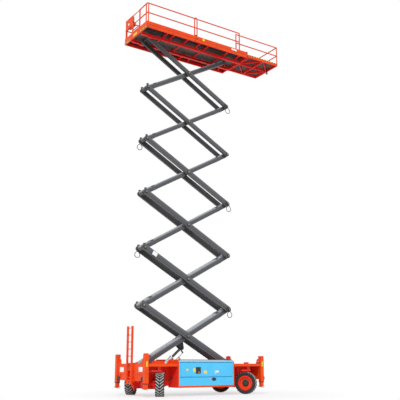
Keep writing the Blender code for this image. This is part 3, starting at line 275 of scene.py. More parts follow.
def barsPaintedShade(tree):
    # painted shade: the faces that a pair of bars turns to each other are painted dark, standing for the shade in the
    # gap between them
    return below(tree, fromMiddle(tree), 0.266)


def slidePaintedShade(tree):
    # painted shade: the side beams' outer faces and the front one are orange, the beams between them painted red,
    # standing for the shade they lie in
    behind = below(tree, axisOf(tree, "X"), stackX + 5.83)
    return mathNode(tree, "MULTIPLY", below(tree, fromMiddle(tree), 1.04), behind)


orangeLook = {"color": (0.88, 0.078, 0.006), "shade": (0.80, 0.060, 0.005), "dirt": (0.30, 0.05, 0.012),
              "roughness": 0.42, "dust": 0.22}
redLook = {"color": (0.92, 0.026, 0.012), "shade": (0.80, 0.016, 0.010), "dirt": (0.30, 0.02, 0.012),
           "roughness": 0.45, "dust": 0.3}
greyLook = {"color": (0.094, 0.099, 0.110), "shade": (0.078, 0.081, 0.090), "dirt": (0.045, 0.040, 0.040),
            "roughness": 0.5, "dust": 0.10, "gloss": 0.35}
blueLook = {"color": (0.085, 0.560, 0.900), "shade": (0.075, 0.530, 0.870), "dirt": (0.06, 0.38, 0.62),
            "roughness": 0.34, "dust": 0.08, "gloss": 0.4}

finishes = {
    "orange": paintFinish("orangePaint", orangeLook),
    # the chassis's inner tone is a red painted as shade
    "chassis": paintFinish("chassisPaint", {**orangeLook, "inner": (1.0, 0.040, 0.020)}, chassisPaintedShade),
    # the platform's inner tone is a red painted as shade
    "platform": paintFinish("platformPaint", {**orangeLook, "inner": (0.80, 0.016, 0.012)}, platformPaintedShade),
    # the slide's inner tone is a red painted as shade
    "slide": paintFinish("slidePaint", {**orangeLook, "inner": (0.86, 0.02, 0.012)}, slidePaintedShade),
    "red": paintFinish("redPaint", redLook),
    "grey": paintFinish("armPaint", greyLook),
    # the arms carry painted highlights, painted reflections and painted shade across their height
    "armInner": paintFinish("innerArmPaint", greyLook, paintedLight=lambda tree: armPaintedLight(tree, -1)),
    # the outer arms' inner tone is painted shade between their bars
    "armOuter": paintFinish("outerArmPaint", {**greyLook, "inner": (0.036, 0.037, 0.041)}, barsPaintedShade,
                            lambda tree: armPaintedLight(tree, 1)),
    "blue": paintFinish("coverPaint", blueLook),
}


def plainFinish(name, look):
    # one tone with a little cloud in it, and a bump of its own grain
    material = newMaterial(name, look["color"], look["roughness"], look.get("metallic", 0.0))
    tree = material.node_tree
    cloud = spread(tree, noiseOf(tree, look.get("cloud", 6), 4), 0.3, 0.7)
    tree.links.new(blendColors(tree, cloud, look["color"], look["shade"]),
                   tree.nodes["Principled BSDF"].inputs["Base Color"])
    addBump(tree, noiseOf(tree, look.get("grain", 60), 4), look.get("bump", 0.2))
    return material


plainLooks = {
    "rubber": ("tyreRubber", {"color": (0.050, 0.056, 0.056), "shade": (0.032, 0.034, 0.034), "roughness": 0.86,
                              "grain": 45, "bump": 0.35}),
    "hose": ("hoseRubber", {"color": (0.05, 0.05, 0.055), "shade": (0.03, 0.03, 0.033), "roughness": 0.6}),
    "chrome": ("rodChrome", {"color": (0.070, 0.072, 0.078), "shade": (0.05, 0.052, 0.056), "roughness": 0.22,
                             "metallic": 0.3, "bump": 0.02}),
    "steel": ("barrelSilver", {"color": (0.62, 0.65, 0.66), "shade": (0.48, 0.52, 0.53), "roughness": 0.35,
                               "metallic": 0.6, "bump": 0.08}),
    "dark": ("deckUnderside", {"color": (0.022, 0.013, 0.013), "shade": (0.076, 0.063, 0.057), "roughness": 0.7,
                               "cloud": 0.7, "bump": 0.05}),
    "cast": ("castIron", {"color": (0.055, 0.055, 0.06), "shade": (0.09, 0.085, 0.08), "roughness": 0.65,
                          "bump": 0.4}),
    "black": ("blackPlastic", {"color": (0.018, 0.018, 0.02), "shade": (0.03, 0.03, 0.033), "roughness": 0.4}),
    "white": ("whiteLabel", {"color": (0.94, 0.94, 0.93), "shade": (0.88, 0.88, 0.87), "roughness": 0.5}),
    "yellow": ("yellowLabel", {"color": (0.95, 0.70, 0.02), "shade": (0.85, 0.60, 0.015), "roughness": 0.5}),
    "pale": ("palePad", {"color": (0.58, 0.50, 0.34), "shade": (0.42, 0.34, 0.22), "roughness": 0.7}),
    "bolt": ("zincBolt", {"color": (0.42, 0.42, 0.43), "shade": (0.28, 0.28, 0.29), "roughness": 0.4,
                          "metallic": 0.8}),
    # the cover's eave: a pale blue that is a painted reflection of the sky on its rounded top edge
    "skyReflectionBlue": ("coverSkyReflection", {"color": (0.36, 0.70, 0.80), "shade": (0.30, 0.64, 0.76), "roughness": 0.4}),
    "seam": ("coverSeam", {"color": (0.030, 0.36, 0.72), "shade": (0.026, 0.32, 0.66), "roughness": 0.4}),
    "safetyOrange": ("orangeButton", {"color": (1.0, 0.22, 0.01), "shade": (0.9, 0.18, 0.01), "roughness": 0.35}),
    "limeReflector": ("limeReflector", {"color": (0.62, 0.80, 0.05), "shade": (0.5, 0.68, 0.04), "roughness": 0.3}),
    "guardRed": ("guardRed", {"color": (0.36, 0.03, 0.015), "shade": (0.28, 0.02, 0.012), "roughness": 0.5}),
    "brass": ("pinBrass", {"color": (0.34, 0.31, 0.25), "shade": (0.22, 0.20, 0.16), "roughness": 0.45,
                           "metallic": 0.3}),
    # a dark red strip painted as the shadow line under the skirt's toe board
    "skirtShadowLine": ("skirtShadowLine", {"color": (0.42, 0.016, 0.008), "shade": (0.34, 0.012, 0.007), "roughness": 0.6}),
}
for key, (name, look) in plainLooks.items():
    finishes[key] = plainFinish(name, look)


def lensFinish(name, color):
    material = newMaterial(name, color, 0.18)
    shader = material.node_tree.nodes["Principled BSDF"]
    shader.inputs["Transmission Weight"].default_value = 0.35
    shader.inputs["IOR"].default_value = 1.45
    addBump(material.node_tree, noiseOf(material.node_tree, 120, 1), 0.2)
    return material


finishes["amber"] = lensFinish("amberLens", (1.0, 0.30, 0.02))
finishes["lensRed"] = lensFinish("redLens", (0.75, 0.015, 0.015))


def meshDeckFinish():
    # expanded metal: a small diamond mesh, darker in its holes
    look = {"metal": (0.20, 0.11, 0.10), "hole": (0.055, 0.036, 0.034), "pitch": 11.0}
    material = newMaterial("meshDeck", look["metal"], 0.75)
    tree = material.node_tree
    bricks = tree.nodes.new("ShaderNodeTexBrick")
    bricks.inputs["Scale"].default_value = look["pitch"]
    bricks.inputs["Mortar Size"].default_value = 0.03
    bricks.inputs["Color1"].default_value = (*look["hole"], 1)
    bricks.inputs["Color2"].default_value = (*look["hole"], 1)
    bricks.inputs["Mortar"].default_value = (*look["metal"], 1)
    tree.links.new(objectPlace(tree), bricks.inputs["Vector"])
    cloud = spread(tree, noiseOf(tree, 2, 3), 0.35, 0.65, 0, 0.5)
    tone = blendColors(tree, cloud, bricks.outputs["Color"], look["metal"])
    tree.links.new(tone, tree.nodes["Principled BSDF"].inputs["Base Color"])
    addBump(tree, bricks.outputs["Fac"], 0.5, 0.004)
    return material


def undersideFinish():
    # painted light and shade: the deck's sheet is a paler brown between the two long beams and nearly black beside the
    # skirts
    look = {"middle": (0.125, 0.105, 0.092), "edge": (0.020, 0.011, 0.011), "roughness": 0.7}
    material = newMaterial("deckSheet", look["middle"], look["roughness"])
    tree = material.node_tree
    shader = tree.nodes["Principled BSDF"]
    shadeTowardEdge = spread(tree, fromMiddle(tree), 0.10, 0.80)
    tree.links.new(blendColors(tree, shadeTowardEdge, look["middle"], look["edge"]), shader.inputs["Base Color"])
    worn = spread(tree, noiseOf(tree, 4, 3), 0.3, 0.7, look["roughness"] - 0.08, look["roughness"] + 0.1)
    tree.links.new(worn, shader.inputs["Roughness"])
    return material


def stripeFinish():
    # slanting yellow and black bands
    look = {"yellow": (0.95, 0.62, 0.015), "black": (0.02, 0.02, 0.02), "pitch": 34.0}
    material = newMaterial("hazardStripes", look["yellow"], 0.5)
    tree = material.node_tree
    total = mathNode(tree, "ADD", axisOf(tree, "X"), axisOf(tree, "Y"))
    total = mathNode(tree, "ADD", total, axisOf(tree, "Z"))
    wave = mathNode(tree, "SINE", mathNode(tree, "MULTIPLY", total, look["pitch"]))
    tree.links.new(blendColors(tree, above(tree, wave, 0), look["yellow"], look["black"]),
                   tree.nodes["Principled BSDF"].inputs["Base Color"])
    addBump(tree, noiseOf(tree, 40, 3), 0.1)
    return material


def tyreFinish():
    # rubber that is paler on the worn tops of the lugs, which the mesh's own wear value marks
    look = {"color": (0.020, 0.020, 0.021), "worn": (0.46, 0.46, 0.44), "dust": (0.05, 0.047, 0.043)}
    material = newMaterial("treadRubber", look["color"], 0.85)
    tree = material.node_tree
    wear = tree.nodes.new("ShaderNodeAttribute")
    wear.attribute_name = "wear"
    dusty = blendColors(tree, spread(tree, noiseOf(tree, 9, 5), 0.45, 0.75, 0, 0.6), look["color"], look["dust"])
    uneven = spread(tree, noiseOf(tree, 30, 4), 0.3, 0.62, 0.45, 1.0)
    patch = mathNode(tree, "MULTIPLY", wear.outputs["Fac"], uneven)
    tree.links.new(blendColors(tree, patch, dusty, look["worn"]), tree.nodes["Principled BSDF"].inputs["Base Color"])
    addBump(tree, noiseOf(tree, 55, 5), 0.35)
    return material


finishes["meshDeck"] = meshDeckFinish()
finishes["deckSheet"] = undersideFinish()
finishes["stripes"] = stripeFinish()
finishes["tread"] = tyreFinish()

nodeFinish = {
    "chassis_frame": "chassis", "platform_frame": "platform", "platform_deck": "deckSheet",
    "extension_deck": "meshDeck", "extension_frame": "slide", "engine": "cast", "oil_tank": "steel",
    "lift_barrel": "steel", "lift_rod": "chrome", "beacon_amber": "amber", "beacon_red": "lensRed",
}
prefixFinish = {
    "arm_inner": "armInner", "arm_outer": "armOuter", "hose_": "hose", "tyre_": "rubber", "knuckle_": "cast",
    "hood_": "blue", "door_": "blue", "axle_": "red",
}


def finishNodes():
    for name, obj in nodes.items():
        key = nodeFinish.get(name, "orange")
        for prefix, other in prefixFinish.items():
            if name.startswith(prefix):
                key = other
        obj.data.materials.clear()
        obj.data.materials.append(finishes[key])


finishNodes()
print("finishes made and put on the frame's pieces")

# tools for this scene's pieces

def at(x, y, z):
    # a place given from the stack's middle, in the frame's own numbers
    return (x + stackX, y + stackY, z)


def shift(x, y, z):
    return Matrix.Translation((x, y, z))


def turn(angle, axis):
    return Matrix.Rotation(math.radians(angle), 4, axis)


def facing(side):
    # a piece made for the far side, turned round where it stands on the near one
    return turn(0 if side > 0 else 180, "Z")


def sideRange(side, inner, outer):
    # two distances from the middle, as the lower and the higher Y on one side
    return sorted((side * inner, side * outer))


def moved(piece, *moves):
    for move in moves:
        piece.data.transform(move)
    return piece


def deselectAll():
    if bpy.context.mode != "OBJECT":
        bpy.ops.object.mode_set(mode="OBJECT")
    bpy.ops.object.select_all(action="DESELECT")


def pickOnly(piece):
    deselectAll()
    piece.select_set(True)
    bpy.context.view_layer.objects.active = piece


def startEdit(piece, mode="FACE"):
    pickOnly(piece)
    bpy.ops.object.mode_set(mode="EDIT")
    bpy.ops.mesh.select_mode(type=mode)
    bpy.ops.mesh.select_all(action="SELECT")


def endEdit():
    bpy.ops.object.mode_set(mode="OBJECT")


def startOnFaces(piece, test):
    # edit mode with only those faces chosen that pass the test
    startEdit(piece)
    bpy.ops.mesh.select_all(action="DESELECT")
    endEdit()
    for face in piece.data.polygons:
        face.select = test(face)
    bpy.ops.object.mode_set(mode="EDIT")


def faceOutward(piece):
    # a mirrored mesh gets its normals outwards again
    startEdit(piece)
    bpy.ops.mesh.normals_make_consistent(inside=False)
    endEdit()
    return piece


def drawFaces(x, y, z):
    bpy.ops.mesh.extrude_region_move(TRANSFORM_OT_translate={"value": (x, y, z)})


def applyPlace(piece):
    pickOnly(piece)
    bpy.ops.object.transform_apply(location=True, rotation=True, scale=True)


def finishPiece(piece, name, finish, body):
    # smoothed by angle, named, painted and hung on its body, its place kept in its mesh
    applyPlace(piece)
    bpy.ops.object.shade_smooth_by_angle(angle=math.radians(35))
    piece.name = name
    piece.data.name = name
    piece.data.materials.clear()
    piece.data.materials.append(finishes[finish])
    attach(piece, body)


def scaledCube(size, place):
    deselectAll()
    bpy.ops.mesh.primitive_cube_add(size=1, location=place)
    piece = bpy.context.object
    piece.scale = size
    applyPlace(piece)
    return piece


def easedBlock(low, high, edge=0.004, segments=2):
    # a cube at its size and place, its edges rounded in edit mode
    size = [abs(b - a) for a, b in zip(low, high)]
    piece = scaledCube(size, [(a + b) / 2 for a, b in zip(low, high)])
    startEdit(piece, "EDGE")
    bpy.ops.mesh.bevel(offset=min(edge, 0.45 * min(size)), segments=segments, affect="EDGES")
    endEdit()
    return piece


def blockAt(low, high, edge=0.004, segments=2):
    return easedBlock(at(*low), at(*high), edge, segments)


def cardPiece(name, low, high, finish, body, edge=0.006):
    finishPiece(blockAt(low, high, edge, 3), name, finish, body)


def drawnOut(profile, sides, fill):
    # a circle drawn out along Z and resized at each step: profile holds (along, radius)
    deselectAll()
    along, radius = profile[0]
    bpy.ops.mesh.primitive_circle_add(vertices=sides, radius=radius, fill_type=fill, location=(0, 0, along))
    piece = bpy.context.object
    applyPlace(piece)
    startEdit(piece, "FACE" if fill == "NGON" else "EDGE")
    for nextAlong, nextRadius in profile[1:]:
        drawFaces(0, 0, nextAlong - along)
        grow = nextRadius / radius
        bpy.ops.transform.resize(value=(grow, grow, 1), center_override=(0, 0, nextAlong))
        along, radius = nextAlong, nextRadius
    bpy.ops.mesh.select_all(action="SELECT")
    if fill == "NOTHING":
        bpy.ops.mesh.remove_doubles(threshold=0.00001)      # the last step lies on the first
    bpy.ops.mesh.normals_make_consistent(inside=False)
    endEdit()
    return piece


def turnedPiece(profile, sides=24, axis="Z"):
    piece = drawnOut(profile, sides, "NGON")
    if axis != "Z":
        moved(piece, turn(90, "Y") if axis == "X" else turn(-90, "X"))
    return piece


def turnedRing(profile, sides=48):
    # a hoop about the Y axis, with the profile as its closed section
    return moved(drawnOut((*profile, profile[0]), sides, "NOTHING"), turn(-90, "X"))


def copiesAt(piece, moves, keep=False):
    # copies with their own meshes at each matrix; the first one is removed unless it is kept
    made = []
    for move in moves:
        pickOnly(piece)
        bpy.ops.object.duplicate()
        made.append(moved(bpy.context.object, move))
    if not keep:
        bpy.data.objects.remove(piece)
    return made


def joinPieces(pieces):
    deselectAll()
    for piece in pieces:
        piece.select_set(True)
    bpy.context.view_layer.objects.active = pieces[0]
    bpy.ops.object.join()
    return bpy.context.object


def bentPipe(name, points, radius, finish, body):
    # a curve through five or more points, rounded at its bends, made a mesh
    deselectAll()
    bpy.ops.curve.primitive_nurbs_path_add(location=(0, 0, 0))
    piece = bpy.context.object
    spline = piece.data.splines[0]
    spline.points.add(len(points) - len(spline.points))
    for item, place in zip(spline.points, points):
        item.co = (*place, 1)
    spline.order_u = 3
    spline.resolution_u = 6
    piece.data.bevel_depth = radius
    piece.data.bevel_resolution = 2
    piece.data.use_fill_caps = True
    pickOnly(piece)
    bpy.ops.object.convert(target="MESH")
    finishPiece(bpy.context.object, name, finish, body)


bothSides = ((-1, "Near"), (1, "Far"))
mirror = Matrix.Scale(-1, 4, (0, 1, 0))

# tyres, modelled once about the Y axis and then set at each wheel

wheel = {"kingpin": 1.144, "hubZ": 0.547, "outboard": 0.14}
wheelPlaces = {     # axle, side, turn of the wheel
    "rear_right": (-2.21, -1, 58.0), "rear_left": (-2.21, 1, 46.4),
    "front_right": (3.06, -1, -50.0), "front_left": (3.06, 1, -40.0),
}


def wheelMatrix(name):
    axleX, side, angle = wheelPlaces[name]
    kingpin = shift(*at(axleX, side * wheel["kingpin"], wheel["hubZ"]))
    return kingpin @ turn(angle, "Z") @ shift(0, side * wheel["outboard"], 0)


def markWear(piece, test):
    mesh = piece.data
    wear = mesh.attributes.new("wear", "FLOAT", "POINT")
    for vertex, item in zip(mesh.vertices, wear.data):
        item.value = 1.0 if test(vertex.co) else 0.0


def modelTyre():
    size = {"lugs": 23, "wide": 0.052, "long": 0.232, "tall": 0.036, "top": 0.541, "slant": 42, "middle": 0.096,
            "footOut": 0.016, "footDown": 0.052}
    half = ((0.128, 0.349), (0.150, 0.366), (0.178, 0.398), (0.194, 0.440), (0.196, 0.470), (0.188, 0.498),
            (0.166, 0.512), (0.08, 0.516))
    carcass = turnedRing([*((-along, radius) for along, radius in half), *reversed(half)], 56)
    markWear(carcass, lambda place: False)
    rings = []
    for side in (-1, 1):
        # one bar from the middle to the shoulder, with a foot down the side of the tyre
        lug = scaledCube((size["wide"], size["long"], size["tall"]), (0, 0, 0))
        startOnFaces(lug, lambda face: face.normal.y * side > 0.9)
        drawFaces(0, side * 0.014, -0.016)
        drawFaces(0, side * 0.002, -0.036)
        foot = (0, side * (size["long"] / 2 + size["footOut"]), -size["footDown"])
        bpy.ops.transform.resize(value=(0.75, 1, 0.7), center_override=foot)
        startOnFaces(lug, lambda face: face.normal.z > 0.9 and face.center.z > 0)
        bpy.ops.transform.resize(value=(0.80, 1, 1), center_override=(0, 0, size["tall"] / 2))
        endEdit()
        markWear(lug, lambda place: place.z > 0.3 * size["tall"])
        # slanted, so that the two rows meet in a V
        moved(lug, turn(-side * size["slant"], "Z"), shift(0, side * size["middle"], size["top"] - size["tall"] / 2))
        rings += copiesAt(lug, [turn(360 * number / size["lugs"], "Y") for number in range(size["lugs"])])
    return joinPieces([carcass, *rings])


def hangTyres():
    for name, piece in zip(wheelPlaces, copiesAt(modelTyre(), [wheelMatrix(name) for name in wheelPlaces])):
        finishPiece(piece, f"tread_{name}", "tread", f"wheel_{name}")
        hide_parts(f"tyre_{name}")


def roundCircle(piece, count, circle):
    moves = [turn(360 * number / count, "Y") @ shift(circle, 0, 0) for number in range(count)]
    return joinPieces(copiesAt(piece, moves))


def hangHubs():
    # a black hub with its bolts, nuts round the disc, and a lipped ring at the rim's edge
    size = {"nuts": 12, "nutCircle": 0.205, "bolts": 8, "boltCircle": 0.128}
    hub = turnedPiece(((0.050, 0.166), (0.070, 0.168), (0.082, 0.160), (0.120, 0.156), (0.134, 0.140), (0.158, 0.118),
                       (0.162, 0.062), (0.176, 0.056), (0.180, 0.030)), 32, "Y")
    nut = turnedPiece(((0.030, 0.020), (0.050, 0.021), (0.056, 0.016), (0.066, 0.014), (0.070, 0.009)), 6, "Y")
    bolt = turnedPiece(((0.118, 0.013), (0.142, 0.014), (0.148, 0.011)), 6, "Y")
    lip = turnedRing(((0.145, 0.302), (0.172, 0.302), (0.177, 0.309), (0.177, 0.356), (0.172, 0.363), (0.150, 0.363)))
    nuts = roundCircle(nut, size["nuts"], size["nutCircle"])
    bolts = roundCircle(bolt, size["bolts"], size["boltCircle"])
    parts = (("hub", hub, "black"), ("hubNuts", nuts, "bolt"), ("hubBolts", bolts, "dark"), ("rimLip", lip, "red"))
    for name, (axleX, side, angle) in wheelPlaces.items():
        for title, part, finish in parts:
            copy = copiesAt(part, [wheelMatrix(name) @ facing(side)], True)[0]
            finishPiece(copy, f"{title}_{name}", finish, f"wheel_{name}")
    for title, part, finish in parts:
        bpy.data.objects.remove(part)


hangTyres()
hangHubs()
print("tyres and hubs made")

# plates, labels and lamps' bases on the flat faces: all of them blank

def nearDisc(name, profile, sides, place, finish, body, wide=1):
    # a turned piece that looks out of the near side
    disc = turnedPiece(profile, sides, "Y")
    moved(disc, turn(180, "Z"), Matrix.Scale(wide, 4, (1, 0, 0)), shift(*at(*place)))
    finishPiece(disc, name, finish, body)


def dressCover():
    size = {"face": 1.5003, "strip": 1.507, "latch": 1.512}
    face = -size["face"]
    labels = (      # name, from and to along X, from and to in Z, finish
        ("yellowLabelTall", -0.404, -0.278, 1.110, 1.279, "yellow"),
        ("yellowLabelSmall", -0.808, -0.700, 1.161, 1.254, "yellow"),
        ("yellowLabelSquare", 0.209, 0.378, 1.029, 1.171, "yellow"),
        ("yellowLabelNarrow", 0.846, 0.929, 1.023, 1.166, "yellow"),
        ("whiteLabelWide", 0.932, 1.079, 1.083, 1.165, "white"),
    )
    for name, start, end, low, high, finish in labels:
        cardPiece(name, (start, face - 0.003, low), (end, face, high), finish, "door_right", 0.0014)
    # the control recess: a raised frame with its floor set back, a lamp and knobs in it
    recess = blockAt((-0.262, face - 0.012, 1.034), (0.018, face, 1.337))
    startOnFaces(recess, lambda part: part.normal.y < -0.9 and part.area > 0.01)
    bpy.ops.mesh.inset(thickness=0.016, depth=0)
    bpy.ops.mesh.inset(thickness=0.004, depth=-0.008)
    endEdit()
    finishPiece(recess, "recessFrame", "black", "door_right")
    nearDisc("recessLamp", ((0.0, 0.034), (0.010, 0.034), (0.018, 0.028), (0.022, 0.016)), 20,
             (-0.088, face - 0.002, 1.095), "safetyOrange", "door_right")
    for number, (x, z) in enumerate(((-0.20, 1.27), (-0.13, 1.27), (-0.06, 1.27), (-0.20, 1.19), (-0.06, 1.19)), 1):
        nearDisc(f"recessKnob{number}", ((0.0, 0.016), (0.012, 0.016), (0.016, 0.012)), 14, (x, face - 0.004, z),
                 "dark", "door_right")
    # the oval grip under the door, and an orange button beside it
    nearDisc("ovalGrip", ((0.0, 0.078), (0.010, 0.078), (0.018, 0.070), (0.018, 0.052), (0.008, 0.046)), 32,
             (0.796, face, 0.765), "black", "chassis", 1.65)
    nearDisc("coverButton", ((0.0, 0.040), (0.010, 0.040), (0.016, 0.032)), 20, (0.550, face, 0.768), "safetyOrange",
             "chassis")
    # both covers: a strip along the door's foot, a band at each of its ends, two latches and an eave, whose pale blue
    # is a painted reflection of the sky on the cover's top edge
    for side, hand, eave in ((-1, "right", 1.507), (1, "left", 1.504)):
        door = f"door_{hand}"
        low, high = sideRange(side, size["face"], size["strip"])
        finishPiece(blockAt((-1.14, low, 0.876), (1.91, high, 0.902), 0.003), f"dripStrip_{hand}", "seam", door)
        for title, x in (("rear", -1.10), ("front", 1.82)):
            band = blockAt((x, low, 0.915), (x + 0.05, high, 1.50), 0.003)
            finishPiece(band, f"doorBand_{hand}_{title}", "blue", door)
        low, high = sideRange(side, size["face"], size["latch"])
        for number, x in enumerate((-0.55, 0.75), 1):
            latch = blockAt((x, low, 0.925), (x + 0.09, high, 0.965), 0.005)
            finishPiece(latch, f"doorLatch_{hand}_{number}", "blue", door)
        low, high = sideRange(side, size["face"], eave)
        finishPiece(blockAt((-1.17, low, 1.592), (1.94, high, 1.652), 0.0015), f"coverEave_{hand}", "skyReflectionBlue",
                    "chassis")


def dressColumns():
    # on each corner column a reflector, a wiper collar at its foot, and a pad under its jack leg
    size = {"out": 1.43, "face": 1.5303, "collar": 0.104, "collarTop": 0.6197, "padZ": 0.333, "padTilt": 9}
    for title, x, finish in (("Rear", -2.97, "yellow"), ("Front", 3.80, "limeReflector")):
        for side, hand in bothSides:
            low, high = sideRange(side, size["face"], 1.536)
            cardPiece(f"reflector{title}{hand}", (x - 0.035, low, 1.36), (x + 0.035, high, 1.60), finish, "chassis",
                      0.002)
            y, half = side * size["out"], size["collar"]
            collar = blockAt((x - half, y - half, 0.583), (x + half, y + half, size["collarTop"]), 0.006)
            startOnFaces(collar, lambda face: abs(face.normal.z) > 0.9 and face.area > 0.01)
            bpy.ops.mesh.inset(thickness=0.016, use_individual=True)
            bpy.ops.mesh.bridge_edge_loops()
            endEdit()
            finishPiece(collar, f"collar{title}{hand}", "rubber", "chassis")
            pad = turnedPiece(((0.0, 0.125), (0.010, 0.132), (0.022, 0.128), (0.026, 0.060), (0.045, 0.045)), 28)
            moved(pad, turn(size["padTilt"], "Y"), shift(*at(x, y, size["padZ"])))
            leg = f"jack_leg_{title.lower()}_{'right' if side < 0 else 'left'}"
            finishPiece(pad, f"footPad{title}{hand}", "pale", leg)


def dressEnds():
    # labels on the rear end frame, rubber buffers on both, and small blocks on their tops
    rear, front = -3.0003, 3.8303
    cards = (      # name, low and high corner, finish, edge
        ("endLabelFar", (rear - 0.003, 0.72, 1.105), (rear, 1.118, 1.332), "white", 0.0014),
        ("endLabelNear", (rear - 0.003, -1.169, 1.131), (rear, -0.801, 1.348), "white", 0.0014),
        ("bufferRearNear", (rear - 0.06, -1.322, 0.70), (rear, -1.10, 0.90), "rubber", 0.02),
        ("bufferRearFar", (rear - 0.06, 1.10, 0.70), (rear, 1.322, 0.90), "rubber", 0.02),
        ("bufferFrontNear", (front + 0.07, -1.50, 0.71), (front + 0.14, -1.36, 0.86), "rubber", 0.02),
        ("bufferFrontFar", (front + 0.07, 1.36, 0.71), (front + 0.14, 1.50, 0.86), "rubber", 0.02),
        ("topBlockNear", (-2.96, -0.547, 1.5003), (-2.91, -0.393, 1.575), "orange", 0.008),
        ("topBlockFar", (-2.96, 0.393, 1.5003), (-2.91, 0.547, 1.575), "orange", 0.008),
        ("frontBlock", (2.93, -1.25, 1.5003), (3.14, -1.10, 1.572), "orange", 0.01),
    )
    for name, low, high, finish, edge in cards:
        cardPiece(name, low, high, finish, "chassis", edge)
    dressColumns()
    bolt = turnedPiece(((0.0, 0.016), (0.010, 0.016), (0.013, 0.012)), 6, "X")
    moves = []
    for y in (0.47, 0.86, 1.24):
        for z in (1.20, 1.45):
            for side in (-1, 1):
                moves.append(shift(*at(front, side * y, z)))
                moves.append(shift(*at(rear, side * y, z)) @ turn(180, "Z"))
    finishPiece(joinPieces(copiesAt(bolt, moves)), "endFrameBolts", "bolt", "chassis")
    plug = turnedPiece(((0.0, 0.054), (0.018, 0.054), (0.024, 0.048), (0.024, 0.036), (0.014, 0.030)), 24, "X")
    moved(plug, turn(180, "Z"), shift(*at(-3.068, 0, 0.620)))
    finishPiece(plug, "ladderSocket", "black", "chassis")
    # a black hose that bends down inside each front column
    run = ((3.50, 1.40, 1.50), (3.50, 1.40, 1.56), (3.60, 1.42, 1.60), (3.665, 1.44, 1.50), (3.68, 1.44, 1.30),
           (3.68, 1.44, 1.10), (3.70, 1.44, 1.00))
    for side, hand in bothSides:
        bentPipe(f"columnPipeFront{hand}", [at(x, side * y, z) for x, y, z in run], 0.014, "hose", "chassis")


def dressBeacons():
    for name, x, y, radius in (("amber", -1.07, -1.28, 0.060), ("red", 1.84, -1.29, 0.110)):
        base = turnedPiece(((0.0, radius + 0.014), (0.012, radius + 0.014), (0.018, radius + 0.004),
                            (0.033, radius + 0.003)), 28)
        finishPiece(moved(base, shift(*at(x, y, 1.6605))), f"beaconBase_{name}", "black", "chassis")


dressCover()
dressEnds()
dressBeacons()
print("covers and end frames dressed")

# the scissor stack: caps and bolts on its pins, lock plates, wear plates and a blank label

def stackPoint(level, along, side):
    # a point on an outer bar's face, by level from the ground and distance from its middle
    middle = stack["baseZ"] + (level - 0.5) * levelRise
    return at(along * math.cos(armAngle), side * stack["barOut"], middle - along * math.sin(armAngle))


def dressStack():
    half, levels = stack["arm"] / 2, range(1, stack["levels"] + 1)
    cap = turnedPiece(((0.0, 0.086), (0.012, 0.088), (0.020, 0.082), (0.020, 0.060)), 24, "Y")
    stud = turnedPiece(((0.020, 0.010), (0.030, 0.011), (0.033, 0.008)), 6, "Y")
    studs = copiesAt(stud, [turn(45 + 90 * number, "Y") @ shift(0.067, 0, 0) for number in range(4)])
    nipple = turnedPiece(((0.018, 0.050), (0.030, 0.050), (0.034, 0.042), (0.034, 0.012), (0.046, 0.009)), 16, "Y")
    bolts = joinPieces([*studs, nipple])
    for level in levels:
        moves = []
        for along in (-half, 0, half):
            if (level, along) not in ((1, half), (stack["levels"], -half)):
                moves += [shift(*stackPoint(level, along, side)) @ facing(side) for side in (-1, 1)]
        for piece, title, finish in ((cap, "pinCaps", "black"), (bolts, "pinBolts", "brass")):
            finishPiece(joinPieces(copiesAt(piece, moves, True)), f"{title}_{level}", finish, f"arm_outer_{level}")
    bpy.data.objects.remove(cap)
    bpy.data.objects.remove(bolts)
    # a lock plate stands on each outer bar's upper end
    for level in levels[:-1]:
        lobes = []
        for side in (-1, 1):
            x, y, z = stackPoint(level, -half, side)
            y -= side * 0.085
            lobes.append(easedBlock((x - 0.075, y - 0.035, z + 0.04), (x + 0.055, y + 0.035, z + 0.215), 0.025))
        finishPiece(joinPieces(lobes), f"pinLobes_{level}", "grey", f"arm_outer_{level}")
    # long wear plates below the inner arms' ends and short ones above them
    plate = {"inward": 0.62, "half": 0.178, "long": 0.18, "short": 0.10, "out": 0.008, "lap": 0.05}
    for level, height in zip(levels, (0.30, 0.30, 0.26, 0.26, 0.22, 0.22)):
        plates, edge = [], height / 2
        for along in (plate["inward"] - half, half - plate["inward"]):
            for reach, low, high in ((plate["long"], -edge - plate["out"], -edge + plate["lap"]),
                                     (plate["short"], edge - plate["lap"], edge + plate["out"])):
                plates.append(easedBlock((along - reach, -plate["half"], low), (along + reach, plate["half"], high),
                                         0.006))
        centre = shift(*at(0, 0, stack["baseZ"] + (level - 0.5) * levelRise))
        whole = moved(joinPieces(plates), centre @ turn(-stack["angle"], "Y"))
        finishPiece(whole, f"armPlates_{level}", "grey", f"arm_inner_{level}")
    # one blank label near the upper end of the second level's near bar
    label = easedBlock((-0.14, 0.021, -0.105), (0.14, 0.0247, 0.105), 0.0015)
    moved(label, shift(*stackPoint(2, -2.30, -1)) @ turn(stack["angle"], "Y") @ mirror)
    finishPiece(faceOutward(label), "armLabel", "white", "arm_outer_2")


